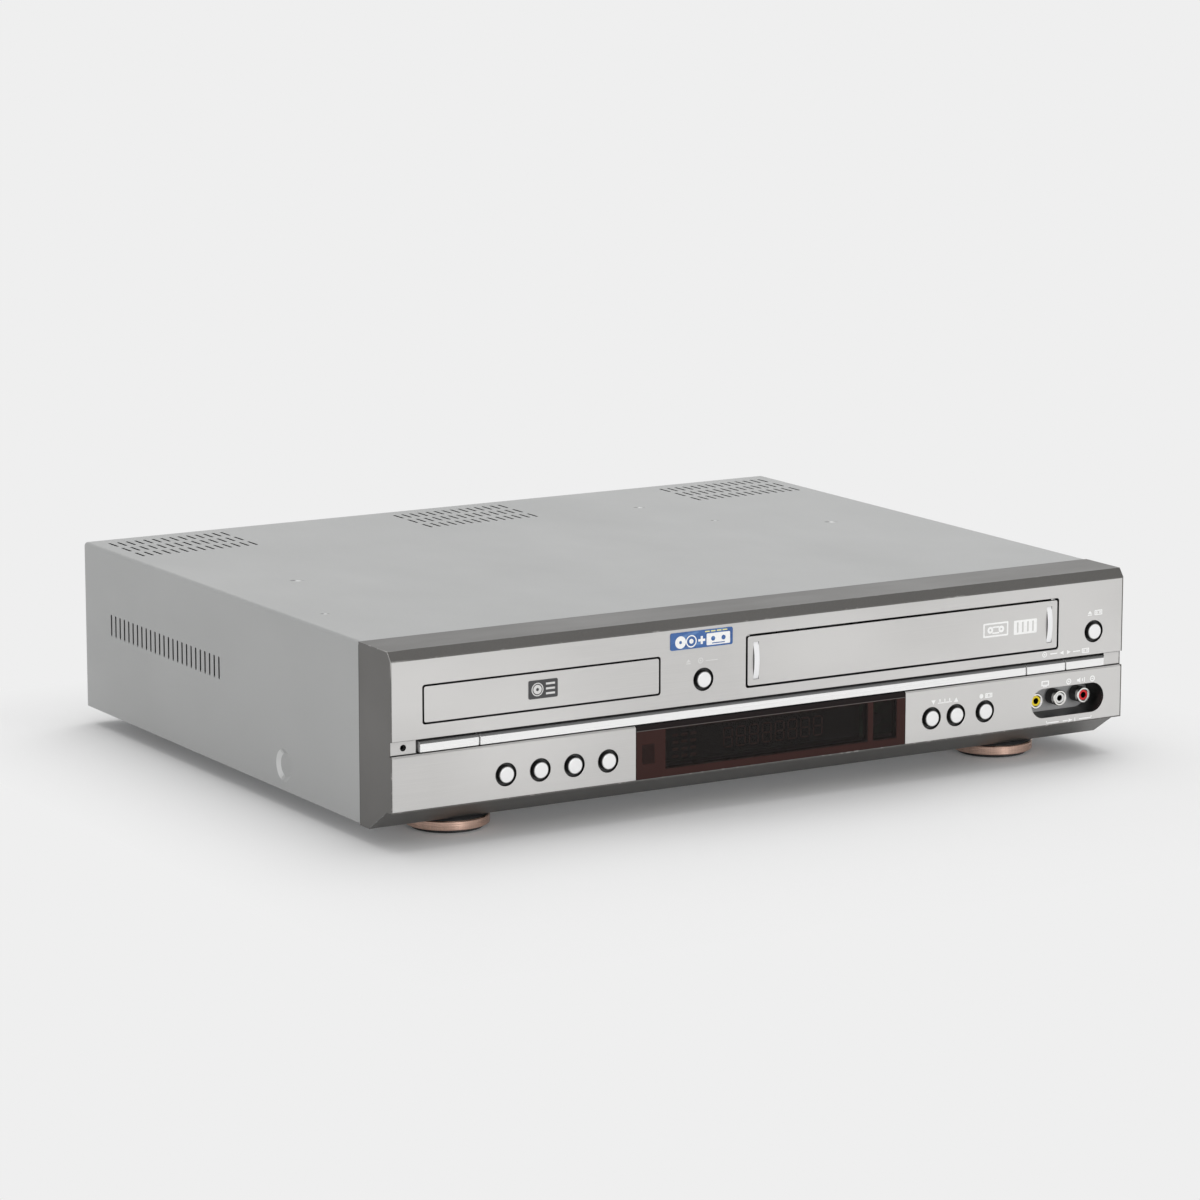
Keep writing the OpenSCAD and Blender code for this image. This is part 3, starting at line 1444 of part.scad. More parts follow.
module main_board() {
  sink_x = pcb_half - 56;
  sink_y = pcb_rear - 48;
  color(board_green) on_unit() translate([0, 0, pcb_z]) difference() {
    union() {
      block([main_x0, pcb_y0, 0], [pcb_half, pcb_rear, board_t]);
      block([-pcb_half, pcb_y0, 0], [main_x0 + eps, supply_y0 - 8, board_t]);
      for (p = [[0, 110], [60, 270], [-120, 110], [120, 250]])
        chip(p[0], p[1]);
      for (i = [0:5])
        capacitor(main_x0 + 18 + i * 16, 250, 4, 11);
      // heat sink with fins
      block([sink_x, sink_y, board_t - eps], [sink_x + 40, sink_y + 4, board_t + sink_h]);
      for (i = [0:4])
        block([sink_x + i * 9, sink_y, board_t - eps], [sink_x + i * 9 + 2, sink_y + 15, board_t + sink_h]);
      // shielded tuner can
      block([sink_x, pcb_rear - 28, board_t - eps], [sink_x + 36, pcb_rear - 2, board_t + 44]);
    }
    for (s = [-1, 1]) {
      leg_hole(tape_x + s * deck_leg_x, deck_leg_y[1]);
      leg_hole(disc_x + s * loader_leg_x, loader_leg_y[1]);
    }
  }
}

module power_supply() {
  x0 = -pcb_half;
  core_x = x0 + 66;
  core_y = supply_y0 + 27;
  color([0.55, 0.42, 0.2]) on_unit() translate([0, 0, pcb_z]) union() {
    block([x0, supply_y0, 0], [supply_x1, pcb_rear, board_t]);
    // transformer: core and winding
    block([core_x, core_y, board_t - eps], [core_x + 40, core_y + 35, board_t + 26]);
    block([core_x + 6, core_y - 7, board_t + 4], [core_x + 34, core_y + 42, board_t + 22]);
    // smoothing capacitors
    capacitor(x0 + 41, core_y + 25, 11, 34);
    for (i = [0:3])
      capacitor(supply_x1 - 30, supply_y0 + 17 + i * 18, 6, 20);
    // heat sinks
    for (x = [x0 + 56, supply_x1 - 38])
      block([x, pcb_rear - 58, board_t - eps], [x + 3, pcb_rear - 21, board_t + sink_h + 4]);
    // mains filter and fuse
    block([x0 + 11, pcb_rear - 43, board_t - eps], [x0 + 34, pcb_rear - 21, board_t + 16]);
    translate([x0 + 14, supply_y0 + 12, board_t + 3]) rod_y(2.6, 0, 20);
    for (y = [supply_y0 + 12, supply_y0 + 28])
      block([x0 + 11, y, board_t - eps], [x0 + 17, y + 4, board_t + 4]);
  }
}

// Phono socket seen from behind: body behind the panel, collar, shell and pin hole
module rear_phono() {
  mouth = case_d + rear_out;
  bore_end = mouth - phono_depth - 0.8;
  turned_y() polygon([
    [0, panel_y - 9], [rear_flange_r, panel_y - 9], [rear_flange_r, panel_y], [phono_r + 0.65, panel_y],
    [phono_r + 0.65, panel_y + sheet + 0.5], [phono_r, panel_y + sheet + 0.5], [phono_r, mouth - 0.3],
    [phono_r - 0.3, mouth], [phono_r - 0.8, mouth], [phono_r - 0.8, mouth - 0.8],
    [phono_pin_r, mouth - 0.8], [phono_pin_r, bore_end], [0, bore_end]
  ]);
}

// Threaded aerial socket with a hexagonal shoulder
module aerial_socket() {
  mouth = case_d + rear_out;
  difference() {
    union() {
      rod_y(aerial_r, panel_y - 7, panel_y + sheet + 1);
      rod_y(7, panel_y - 7, panel_y);
      rod_y(4.7, panel_y, mouth);
      rotate([-90, 0, 0]) translate([0, 0, panel_y + sheet]) cylinder(r = 6.8, h = 1.5, $fn = 6);
    }
    rod_y(3.9, mouth - 1, mouth + eps);
    rod_y(0.6, mouth - 5, mouth + eps);
  }
}

// Two-pin mains inlet
module mains_inlet() {
  back = panel_y - 14;
  difference() {
    union() {
      rearward(back, panel_y) round_rect(inlet_w + 8, inlet_h + 8, 2);
      rearward(panel_y - eps, panel_y + sheet + 1) round_rect(inlet_w + 5, inlet_h + 5, 2);
    }
    rearward(back + 2, panel_y + 3 * sheet) rotate(90) slot_shape(inlet_h, inlet_w);
  }
  for (s = [-1, 1])
    translate([s * 4.3, 0, 0]) rod_y(1.2, back + 1, panel_y - 2);
}

module rear_sockets() {
  color([0.3, 0.3, 0.31]) on_unit() union() {
    at_rear_phonos() rear_phono();
    at_aerials() aerial_socket();
    translate([inlet_x, 0, inlet_z]) mains_inlet();
  }
}

// ---------------------------------------------------------------- drawing

top_cover();
base_chassis();
rear_panel();
front_frame();
upper_fascia();
lower_fascia();
display_window();
trim_bar();
feet();
foot_rings();
cover_screws();
front_jack_block();
front_jack_shells();
jack_insert_yellow();
jack_insert_white();
jack_insert_red();
front_board();
display_tube();
left_button_1();
left_button_2();
left_button_3();
left_button_4();
channel_down_button();
channel_up_button();
record_button();
open_close_button();
eject_button();
power_button();
disc_select_button();
tape_select_button();
cassette_door();
door_lenses();
loader_frame();
disc_tray();
tray_front();
tray_gear();
pulley_gear();
motor_pulley();
loader_belt();
loader_motor();
clamp_bridge();
clamper();
traverse();
turntable();
pickup_sled();
sled_screw();
deck_plate();
lower_drum();
upper_drum();
capstan();
pinch_arm();
pinch_roller();
supply_reel();
takeup_reel();
carrier_guides();
carrier_slider();
cassette_carrier();
main_board();
power_supply();
rear_sockets();
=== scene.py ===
# %% [markdown]
# # A disc and cassette player
# The player is one low metal case with a moulded front. Its CAD model holds every piece at its
# real size, so this notebook only gives each piece its finish and adds what a finish needs:
# softened edges, printed signs, the display's digits and the studio around it.
# The frame is loaded first, because every place below is worked out from its pieces.

# %% Load the frame
import json
import math

import bmesh
import bpy
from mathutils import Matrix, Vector
from mathutils.geometry import tessellate_polygon

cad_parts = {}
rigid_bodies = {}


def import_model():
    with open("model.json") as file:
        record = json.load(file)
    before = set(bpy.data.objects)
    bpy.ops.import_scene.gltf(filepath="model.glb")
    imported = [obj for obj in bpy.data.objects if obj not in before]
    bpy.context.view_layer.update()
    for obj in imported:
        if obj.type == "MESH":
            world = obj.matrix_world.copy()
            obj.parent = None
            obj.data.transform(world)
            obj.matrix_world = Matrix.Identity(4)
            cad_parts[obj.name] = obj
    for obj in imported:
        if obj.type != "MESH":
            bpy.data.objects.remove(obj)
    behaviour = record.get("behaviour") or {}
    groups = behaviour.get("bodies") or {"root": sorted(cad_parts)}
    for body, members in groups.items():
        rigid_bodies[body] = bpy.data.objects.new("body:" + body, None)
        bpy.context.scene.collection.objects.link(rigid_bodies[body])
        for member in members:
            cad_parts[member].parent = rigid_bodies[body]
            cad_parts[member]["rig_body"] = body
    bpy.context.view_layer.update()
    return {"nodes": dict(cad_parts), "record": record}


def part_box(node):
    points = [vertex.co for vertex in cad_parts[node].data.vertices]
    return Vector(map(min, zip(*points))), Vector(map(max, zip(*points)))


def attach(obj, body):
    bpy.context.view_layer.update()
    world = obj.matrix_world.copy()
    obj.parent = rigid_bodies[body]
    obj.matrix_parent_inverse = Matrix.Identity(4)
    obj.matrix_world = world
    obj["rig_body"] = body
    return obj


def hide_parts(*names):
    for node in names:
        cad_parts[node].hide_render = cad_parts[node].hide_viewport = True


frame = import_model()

MM = 0.001

# %% [markdown]
# ## Places
# A front panel is drawn in millimetres from the middle of its face, so the signs and marks below
# are too: x from the middle, y inwards from the front face, z up from the sheet's lower edge. One
# small function turns such a place into the frame's metres.

# %% Places in millimetres from the front face
face_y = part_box("upper_fascia")[0].y
sill_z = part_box("top_cover")[0].z
half_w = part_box("top_cover")[1].x
cover_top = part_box("top_cover")[1].z
cover_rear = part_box("top_cover")[1].y
body_of = {node: obj["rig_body"] for node, obj in frame["nodes"].items()}
slot_of = {row["node"]: row["material_slot"] for row in frame["record"]["subparts"]}


def at(x, y, z):
    return Vector((x * MM, face_y + y * MM, sill_z + z * MM))


print("front face at y =", round(face_y, 4), "- sheet starts at z =", round(sill_z, 4))

# %% [markdown]
# ## Two helpers
# An object only shows once it is linked to the scene's collection, and a node does nothing until its
# sockets have links or values. Both jobs come up many times below, in the pieces, the finishes, the
# world and the Geometry Nodes tree, so each of them is one function.

# %% Make an object, or a node with its sockets
def new_object(name, data):
    """An object at the origin, linked to the scene."""
    obj = bpy.data.objects.new(name, data)
    bpy.context.scene.collection.objects.link(obj)
    return obj


def new_node(tree, kind, links=None, **values):
    """A node with its sockets linked or set. A key that is a number is a socket's place."""
    node = tree.nodes.new(kind)
    for key, value in values.items():
        setattr(node, key, value)
    for key, value in (links or {}).items():
        if isinstance(value, bpy.types.NodeSocket):
            tree.links.new(value, node.inputs[key])
        else:
            node.inputs[key].default_value = value
    return node


print("helpers ready")

# %% [markdown]
# ## Camera
# The camera stands low at the left front corner with a long lens, so the case looks nearly free of
# perspective. Its place is given from the middle of the front face's lower edge. A long lens far
# away and a short lens close by can frame the same width, and only the long one keeps the two
# long edges of the case almost parallel.

# %% Place the camera
CAMERA_SIDE = -1.2286
CAMERA_BACK = 1.9
CAMERA_UP = 0.5268
CAMERA_TURN = math.radians(30.71)
CAMERA_DIP = math.radians(10.85)
LENS = 139.8
SENSOR = 36.0
VIEW_REACH = 100

camera_data = bpy.data.cameras.new("camera")
camera_data.lens = LENS
camera_data.sensor_width = SENSOR
camera_data.clip_end = VIEW_REACH
camera = new_object("camera", camera_data)
camera.location = (CAMERA_SIDE, face_y - CAMERA_BACK, sill_z + CAMERA_UP)
camera.rotation_euler = (math.pi / 2 - CAMERA_DIP, 0, -CAMERA_TURN)
bpy.context.scene.camera = camera
print("camera at", [round(c, 3) for c in camera.location])

# %% [markdown]
# ## Building a finish
# A real surface is never one flat colour: paint has flakes and an orange-peel skin, brushed metal
# has lines, moulded plastic has a fine grain, and edges wear. Each finish below is one Principled
# shader with a few layers on it. The small class keeps the last colour and the last bump, so that
# every new layer goes on top of the one before. All patterns read Object coordinates, which are
# metres here, so a scale of 1000 makes a cell about a millimetre across.

# %% A material that is built up in layers
# Half the width over which a mask fades at its edge
SOFT = 0.05 * MM
# Most of a noise pattern lies between these two values
NOISE_RANGE = (0.3, 0.7)
# How far a rounded normal leaves the true one, where an edge begins and where it is full
EDGE_TURN = (0.02, 0.2)
# The sockets of a Mix node for colours, and its result
MIX_SHARE, MIX_UNDER, MIX_OVER, MIX_RESULT = 0, 6, 7, 2


class Finish:
    def __init__(self, name, colour, roughness, metallic=0.0):
        self.material = bpy.data.materials.new(name)
        self.material.use_nodes = True
        self.tree = self.material.node_tree
        self.shader = self.tree.nodes["Principled BSDF"]
        self.colour = colour
        self.top_colour = None
        self.top_normal = None
        self.set("Base Color", (*colour, 1))
        self.set("Roughness", roughness)
        self.set("Metallic", metallic)

    def set(self, socket, value):
        """Gives one of the shader's sockets a value for the whole surface."""
        self.shader.inputs[socket].default_value = value

    def drive(self, socket, pattern):
        """Lets a pattern give the value of one of the shader's sockets."""
        self.tree.links.new(pattern, self.shader.inputs[socket])

    def add(self, kind, links=None, **values):
        return new_node(self.tree, "ShaderNode" + kind, links, **values)

    def place(self, stretch=(1, 1, 1)):
        """Object coordinates, squeezed along each axis."""
        coords = self.add("TexCoord").outputs["Object"]
        return self.add("Mapping", {"Vector": coords, "Scale": stretch}).outputs["Vector"]

    def noise(self, scale, stretch=(1, 1, 1), detail=3.0):
        links = {"Vector": self.place(stretch), "Scale": scale, "Detail": detail}
        return self.add("TexNoise", links).outputs["Fac"]

    def cells(self, scale, output="Distance"):
        return self.add("TexVoronoi", {"Vector": self.place(), "Scale": scale}).outputs[output]

    def random_cells(self, scale):
        """Cells with one random value each."""
        return self.add("SeparateColor", {0: self.cells(scale, "Color")}).outputs[0]

    def remap(self, value, low, high, to_low=0.0, to_high=1.0):
        links = {"Value": value, "From Min": low, "From Max": high, "To Min": to_low, "To Max": to_high}
        return self.add("MapRange", links).outputs["Result"]

    def math(self, operation, a, b=0.0):
        return self.add("Math", {0: a, 1: b}, operation=operation).outputs[0]

    def distance(self, spot, centre):
        return self.add("VectorMath", {0: spot, 1: centre}, operation="DISTANCE").outputs["Value"]

    def axes(self):
        """The three Object coordinates, as sockets."""
        return self.add("SeparateXYZ", {0: self.add("TexCoord").outputs["Object"]}).outputs

    def facing(self):
        """The three parts of the face's own normal, as sockets."""
        return self.add("SeparateXYZ", {0: self.add("NewGeometry").outputs["True Normal"]}).outputs

    def past(self, value, level, soft=SOFT):
        """A mask that is 1 where a value is over a level."""
        return self.remap(value, level - soft, level + soft)

    def short_of(self, value, level, soft=SOFT):
        """A mask that is 1 where a value is under a level."""
        return self.remap(value, level + soft, level - soft)

    def turned_aside(self, level, soft):
        """A mask that is 1 on faces that look aside, with little of their normal along y."""
        return self.short_of(self.math("ABSOLUTE", self.facing()[1]), level, soft)

    def all_of(self, first, *others):
        for mask in others:
            first = self.math("MULTIPLY", first, mask)
        return first

    def any_of(self, first, *others):
        for mask in others:
            first = self.math("MAXIMUM", first, mask)
        return first

    def edges(self, radius):
        """A mask that is 1 along sharp edges: where a rounded normal leaves the true one."""
        rounded = self.add("Bevel", {"Radius": radius}, samples=4).outputs["Normal"]
        true = self.add("NewGeometry").outputs["True Normal"]
        turn = self.add("VectorMath", {0: rounded, 1: true}, operation="DOT_PRODUCT").outputs["Value"]
        return self.remap(self.math("SUBTRACT", 1.0, turn), *EDGE_TURN)

    def layer(self, mask, colour):
        """Lays a colour over what is there, where the mask is 1."""
        under = self.top_colour or (*self.colour, 1)
        links = {MIX_SHARE: mask, MIX_UNDER: under, MIX_OVER: (*colour, 1)}
        self.top_colour = self.add("Mix", links, data_type="RGBA").outputs[MIX_RESULT]
        self.drive("Base Color", self.top_colour)

    def shade(self, mask, factor):
        """Makes the base colour darker or lighter, where the mask is 1."""
        self.layer(mask, tuple(min(1, c * factor) for c in self.colour))

    def rough(self, pattern, low, high):
        """Roughness that follows a pattern of noise."""
        self.drive("Roughness", self.remap(pattern, *NOISE_RANGE, low, high))

    def bump(self, height, distance, strength=1.0):
        links = {"Height": height, "Distance": distance, "Strength": strength}
        if self.top_normal:
            links["Normal"] = self.top_normal
        self.top_normal = self.add("Bump", links).outputs["Normal"]
        self.drive("Normal", self.top_normal)


print("finish builder ready")

# %% [markdown]
# ## Sheet metal and paint
# The cover is sprayed with a light silver-grey paint that holds fine metal flakes. Sprayed paint
# dries with a faint orange-peel skin, and years of handling leave soft smudges and a few dings.
# A ding could be a hollow in the mesh, but it is so shallow that only its dark and its bright side
# are seen, so a painted shade, a painted highlight and a bump make it. The front frame has a darker,
# warmer paint of the same kind, rubbed bright along its edges: wear with a painted highlight on it.

# %% Cover paint
# Small dings on the cover's top, as (x, y behind the face, radius) in millimetres
COVER_DINGS = [(-168.6, 188, 4), (-197, 102, 2.5), (96, 288, 3.5), (162, 194.5, 4), (110, 231, 2.5)]
COVER_COLOUR = (0.43, 0.435, 0.432)
# A painted highlight, on the dings' bright side and on the dimples' front slopes
PAINTED_HIGHLIGHT = (0.78, 0.785, 0.78)
DING_SHADOW = (0.13, 0.132, 0.13)
# Dark painted shade for the slots' walls, the inside of the sheet and the joint
INSIDE_SHADE = (0.02, 0.02, 0.021)
# Each ding's painted shade and painted highlight, with its shift as a share of the ding's radius
DING_SHADE_AND_HIGHLIGHT = ((-0.3, DING_SHADOW), (0.2, PAINTED_HIGHLIGHT))
# The sheet starts where the front frame ends, this far behind the face
FRAME_DEPTH = 32.0
joint_y = at(0, FRAME_DEPTH, 0).y
# A painted shadow of the gap at the joint reaches this far on both sides
JOINT_SHADOW = 0.25 * MM
# The outside of a side wall lies within this depth, with the floor of its dimple
SIDE_ZONE = 2.1 * MM
# The dimples are further down from the top than this
DIMPLES_UNDER = 50 * MM


def sprayed(name):
    paint = Finish(name, COVER_COLOUR, 0.42, 0.25)
    flakes = paint.remap(paint.noise(2600, detail=1), 0.45, 0.75)
    smudges = paint.remap(paint.noise(7, detail=4), 0.5, 0.85, 0, 0.5)
    paint.shade(flakes, 1.12)
    paint.shade(smudges, 0.9)
    paint.rough(paint.noise(16, (1, 0.6, 1), 4), 0.36, 0.5)
    paint.bump(paint.noise(620, detail=2), 0.02 * MM)
    return paint


def cover_paint():
    """The slots' walls and the inside of the sheet get a dark painted shade, and so does the joint at its
    front edge.
    """
    paint = sprayed("cover_paint")
    spot = paint.place()
    for x, y, radius in COVER_DINGS:
        size = radius * MM
        # A painted shade and a painted highlight for each ding
        for shift, colour in DING_SHADE_AND_HIGHLIGHT:
            centre = ((x + shift * radius) * MM, face_y + (y - shift * radius) * MM, cover_top)
            away = paint.distance(spot, centre)
            paint.layer(paint.remap(away, 0.5 * size, 0.25 * size, 0, 0.9), colour)
        paint.bump(paint.remap(away, 0.2 * size, 0.8 * size), 0.8 * MM)
    x, y, z = paint.axes()
    turn_x, turn_y, turn_z = paint.facing()
    side = paint.math("ABSOLUTE", x)
    # Painted highlight on the front-facing slopes of the two drawn dimples
    highlight_slope = paint.all_of(
        paint.short_of(turn_y, -0.2, 0.1), paint.past(side, half_w - 2 * MM),
        paint.short_of(z, cover_top - DIMPLES_UNDER))
    paint.layer(paint.math("MULTIPLY", highlight_slope, 0.85), PAINTED_HIGHLIGHT)
    looks_out = paint.past(paint.math("MULTIPLY", x, turn_x), 0.03, 0.01)
    rear_lip = paint.all_of(paint.past(turn_y, 0.5, 0.1), paint.past(y, cover_rear - 0.2 * MM))
    side_face = paint.all_of(paint.past(side, half_w - SIDE_ZONE), looks_out)
    outside = paint.any_of(paint.past(turn_z, 0.2, 0.1), rear_lip, side_face)
    deep = paint.all_of(paint.short_of(side, half_w - 0.15 * MM), paint.short_of(z, cover_top - 0.1 * MM))
    # Painted shade inside the slots and under the sheet
    paint.layer(paint.all_of(deep, paint.math("SUBTRACT", 1.0, outside)), INSIDE_SHADE)
    # Painted shadow in the joint with the front frame
    paint.layer(paint.short_of(y, joint_y + JOINT_SHADOW), INSIDE_SHADE)
    return paint.material


finishes = {"cover_paint": cover_paint()}
node_finish = {"rear_panel": sprayed("panel_paint").material}
print("cover paint with", len(COVER_DINGS), "dings")

# %% Frame paint and zinc-plated steel
BLACK_SHADE = (0.012, 0.012, 0.012)
EDGE_WEAR_AND_HIGHLIGHT = (0.7, 0.69, 0.67)
# The plates' backs lie this deep, and the painted shade reaches this far past the plates' edges
PLATE_BACK, PLATE_MARGIN = 1.6 * MM, 0.2 * MM
# The upper left corner is worn most, and carries the strongest painted highlight
worn_highlight_corner = at(-215, 1.5, 87)


def frame_paint():
    """Warm grey paint on the outside. Behind the plates and at the joint with the cover, a black painted
    shade.
    """
    paint = Finish("frame_paint", (0.13, 0.126, 0.12), 0.36)
    paint.shade(paint.remap(paint.noise(3000, detail=1), 0.45, 0.75), 1.2)
    paint.rough(paint.noise(24, (0.4, 1, 1), 4), 0.3, 0.44)
    paint.bump(paint.noise(900, detail=2), 0.01 * MM)
    # Rubbed edges, with a painted highlight along them
    corner = paint.remap(paint.distance(paint.place(), worn_highlight_corner), 12 * MM, 4 * MM)
    patchy = paint.any_of(paint.remap(paint.noise(260), 0.58, 0.75), corner)
    paint.layer(paint.all_of(paint.edges(0.6 * MM), patchy), EDGE_WEAR_AND_HIGHLIGHT)
    x, y, z = paint.axes()
    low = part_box("lower_fascia")[0].z - PLATE_MARGIN
    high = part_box("upper_fascia")[1].z + PLATE_MARGIN
    # Black painted shade in the wells behind the plates and in the joint
    behind = paint.all_of(
        paint.past(y, face_y + PLATE_BACK), paint.short_of(paint.math("ABSOLUTE", x), half_w - 1.5 * MM),
        paint.past(z, low), paint.short_of(z, high))
    shaded = paint.any_of(behind, paint.past(y, joint_y - JOINT_SHADOW))
    paint.layer(shaded, BLACK_SHADE)
    paint.drive("Metallic", paint.remap(shaded, 0, 1, 0.6, 0))
    return paint.material


def zinc_steel(name, colour, roughness):
    steel = Finish(name, colour, roughness, 0.9)
    steel.shade(steel.random_cells(160), 0.86)
    steel.rough(steel.noise(40, detail=5), roughness - 0.08, roughness + 0.12)
    steel.bump(steel.noise(1400, (1, 0.2, 1)), 0.01 * MM, 0.5)
    return steel.material


finishes["frame_plastic"] = frame_paint()
finishes["chassis_steel"] = zinc_steel("zinc_plated_steel", (0.56, 0.57, 0.58), 0.36)
finishes["deck_steel"] = zinc_steel("deck_steel", (0.62, 0.62, 0.6), 0.3)
print("paint and steel:", sorted(finishes))

# %% [markdown]
# ## Silver plates, bars and buttons
# The front plates are plastic with a silver foil skin, brushed along the case. Brushing is made of
# noise that is squeezed hard across the lines and stretched along them. The bars and caps are
# brighter and smoother, so they take the studio's light as one even sheet.

# %% Brushed plates and bright bars
LONG_BARS = ("trim_bar", "power_button", "disc_select_button", "tape_select_button")


def brushed_silver(name, gap_shade_under):
    """Silver skin; faces turned further than gap_shade_under from the front get the gaps' black painted
    shade.
    """
    silver = Finish(name, (0.575, 0.567, 0.556), 0.34, 0.45)
    lines = silver.noise(90, (0.25, 1, 26), 5)
    fine_lines = silver.noise(420, (0.12, 1, 12), 2)
    clouds = silver.noise(5, (1, 1, 2), 2)
    silver.shade(silver.remap(lines, 0.35, 0.7, 0, 0.5), 0.92)
    silver.shade(silver.remap(fine_lines, 0.5, 0.8, 0, 0.5), 1.1)
    silver.shade(silver.remap(clouds, 0.45, 0.6), 1.1)
    silver.rough(fine_lines, 0.3, 0.42)
    silver.bump(fine_lines, 0.008 * MM)
    # Black painted shade in the gaps between pieces
    silver.layer(silver.turned_aside(gap_shade_under, 0.05), (0.015, 0.015, 0.015))
    return silver.material


def bright_silver(name, colour, metallic, roughness):
    silver = Finish(name, colour, roughness, metallic)
    silver.shade(silver.remap(silver.noise(40, (0.1, 1, 3), 1), 0.4, 0.8, 0, 0.5), 0.97)
    silver.rough(silver.noise(60, (0.1, 1, 3), 1), roughness - 0.02, roughness + 0.03)
    return silver


def plated_bar():
    """The bar's long upper bevel gets a darker grey: a painted reflection of the dark ceiling."""
    silver = bright_silver("plated_bar", (0.9, 0.9, 0.895), 0.35, 0.28)
    # Painted reflection of the dark ceiling on the upward bevel
    silver.layer(silver.past(silver.facing()[2], 0.45, 0.1), (0.24, 0.24, 0.24))
    return silver.material


def plated_cap():
    """Only the flat of a round cap is bright. Its rounded brow gets a dark painted shade towards the side.
    """
    silver = bright_silver("plated_cap", (0.88, 0.88, 0.88), 0.2, 0.3)
    silver.layer(silver.turned_aside(0.82, 0.12), (0.03, 0.03, 0.03))
    return silver.material


finishes["fascia_silver"] = brushed_silver("brushed_silver", 0.88)
node_finish["lower_fascia"] = brushed_silver("brushed_silver_lower", 0.3)
finishes["bar_silver"] = plated_bar()
round_finish = plated_cap()
round_buttons = [node for node, slot in slot_of.items() if slot == "bar_silver" and node not in LONG_BARS]
node_finish.update({node: round_finish for node in round_buttons})
print("front metal finishes:", len(finishes), "- round buttons:", len(round_buttons))

# %% [markdown]
# ## Window and display glass
# The display hides behind a window of smoked plastic. Its back is printed red-brown all round, and
# only over the display and over the remote control's receiver is it left clear, so that the dark
# glass and its unlit digits can just be made out there. A fully clear glass would show the board.

# %% Smoked window and the display's glass
SMOKE_CLEAR = 0.45
# Fields without the brown print: left, right, low and high in millimetres, and how clear it is
CLEAR_FIELDS = [
    (-62.5, 56.5, 15.4, 35.2, 1.0),
    (60.0, 74.0, 15.4, 35.2, 1.0),
    (-76.0, -69.0, 19.0, 28.6, 0.5),
]
FIELD_SOFT = 0.4 * MM
# Depths under the window's top edge, where a painted highlight of its bevel starts and where the bar's
# painted shadow starts over it
BEVEL_HIGHLIGHT, BAR_SHADOW = 2.9 * MM, 2.6 * MM


def smoked_window():
    smoke = Finish("smoked_window", (0.037, 0.0135, 0.011), 0.1)
    smoke.set("Specular IOR Level", 0.16)
    smoke.shade(smoke.remap(smoke.noise(30, detail=4), 0.4, 0.8, 0, 0.5), 0.8)
    x, _, z = smoke.axes()
    fields = []
    for left, right, low, high, share in CLEAR_FIELDS:
        fields.append(smoke.all_of(
            smoke.past(x, left * MM, FIELD_SOFT), smoke.short_of(x, right * MM, FIELD_SOFT),
            smoke.past(z, at(0, 0, low).z, FIELD_SOFT), smoke.short_of(z, at(0, 0, high).z, FIELD_SOFT),
            share))
    clear = smoke.any_of(*fields)
    smoke.layer(clear, (0.012, 0.0095, 0.0085))
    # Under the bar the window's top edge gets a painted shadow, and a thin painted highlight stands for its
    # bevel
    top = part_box("display_window")[1].z
    smoke.layer(smoke.past(z, top - BEVEL_HIGHLIGHT), (0.13, 0.12, 0.115))
    smoke.layer(smoke.past(z, top - BAR_SHADOW), (0.008, 0.004, 0.004))
    smoke.drive("Alpha", smoke.remap(clear, 0, 1, 1, 1 - SMOKE_CLEAR))
    smoke.rough(smoke.noise(120), 0.08, 0.16)
    smoke.bump(smoke.noise(500, detail=1), 0.002 * MM)
    return smoke.material


def display_glass():
    glass = Finish("display_glass", (0.006, 0.009, 0.009), 0.12)
    grid = glass.add("TexBrick", {"Vector": glass.place(), "Scale": 900.0}).outputs["Fac"]
    glass.layer(glass.remap(grid, 0, 1, 0, 0.4), (0.02, 0.02, 0.02))
    glass.rough(glass.noise(80), 0.1, 0.18)
    return glass.material


finishes["smoked_window"] = smoked_window()
finishes["display_glass"] = display_glass()
print("glass finishes ready, with", len(CLEAR_FIELDS), "clear fields")

# %% [markdown]
# ## Plastics and rubber
# Moulded plastic copies the grain of its steel mould: fine pits, with a sheen that varies a little
# where the mould ran hotter. One recipe makes them all, with its own colour and grain size.

# %% Moulded plastics
# Grains, as the scale of their cells and the depth of their bump: a higher scale is a finer grain
GRAIN, COARSE, RUBBER = (1400.0, 0.02 * MM), (900.0, 0.02 * MM), (700.0, 0.04 * MM)
FINE, POLISHED = (2500.0, 0.02 * MM), (2500.0, 0.004 * MM)


def moulded(name, colour, roughness, grain=GRAIN):
    scale, depth = grain
    plastic = Finish(name, colour, roughness)
    plastic.shade(plastic.remap(plastic.noise(35, detail=4), 0.4, 0.8), 0.86)
    plastic.rough(plastic.noise(90, detail=3), max(0.05, roughness - 0.08), roughness + 0.1)
    plastic.bump(plastic.cells(scale), depth, 0.5)
    return plastic


finishes["black_plastic"] = moulded("black_plastic", (0.018, 0.018, 0.019), 0.5).material
finishes["grey_plastic"] = moulded("tray_plastic", (0.045, 0.046, 0.05), 0.42).material
finishes["nylon_white"] = moulded("nylon_white", (0.74, 0.73, 0.69), 0.45, COARSE).material
finishes["belt_rubber"] = moulded("belt_rubber", (0.02, 0.019, 0.018), 0.75, RUBBER).material
print("moulded plastics ready")

# %% Light guides of the cassette door
def door_lens():
    """White at the front. The sides lie in the slot's shade and are dark."""
    lens = moulded("lens_white", (0.9, 0.9, 0.91), 0.15, POLISHED)
    lens.layer(lens.turned_aside(0.6, 0.1), (0.03, 0.03, 0.03))
    return lens.material


finishes["lens_white"] = door_lens()
print("door lens ready")

# %% Socket inserts
# Each insert is a coloured tube, and its pin hole gets a dark painted shade
SOCKET_COLOURS = {"yellow": (1.0, 0.76, 0.01), "white": (0.92, 0.92, 0.9), "red": (0.85, 0.015, 0.02)}
HOLE_SHADE = (0.01, 0.01, 0.01)


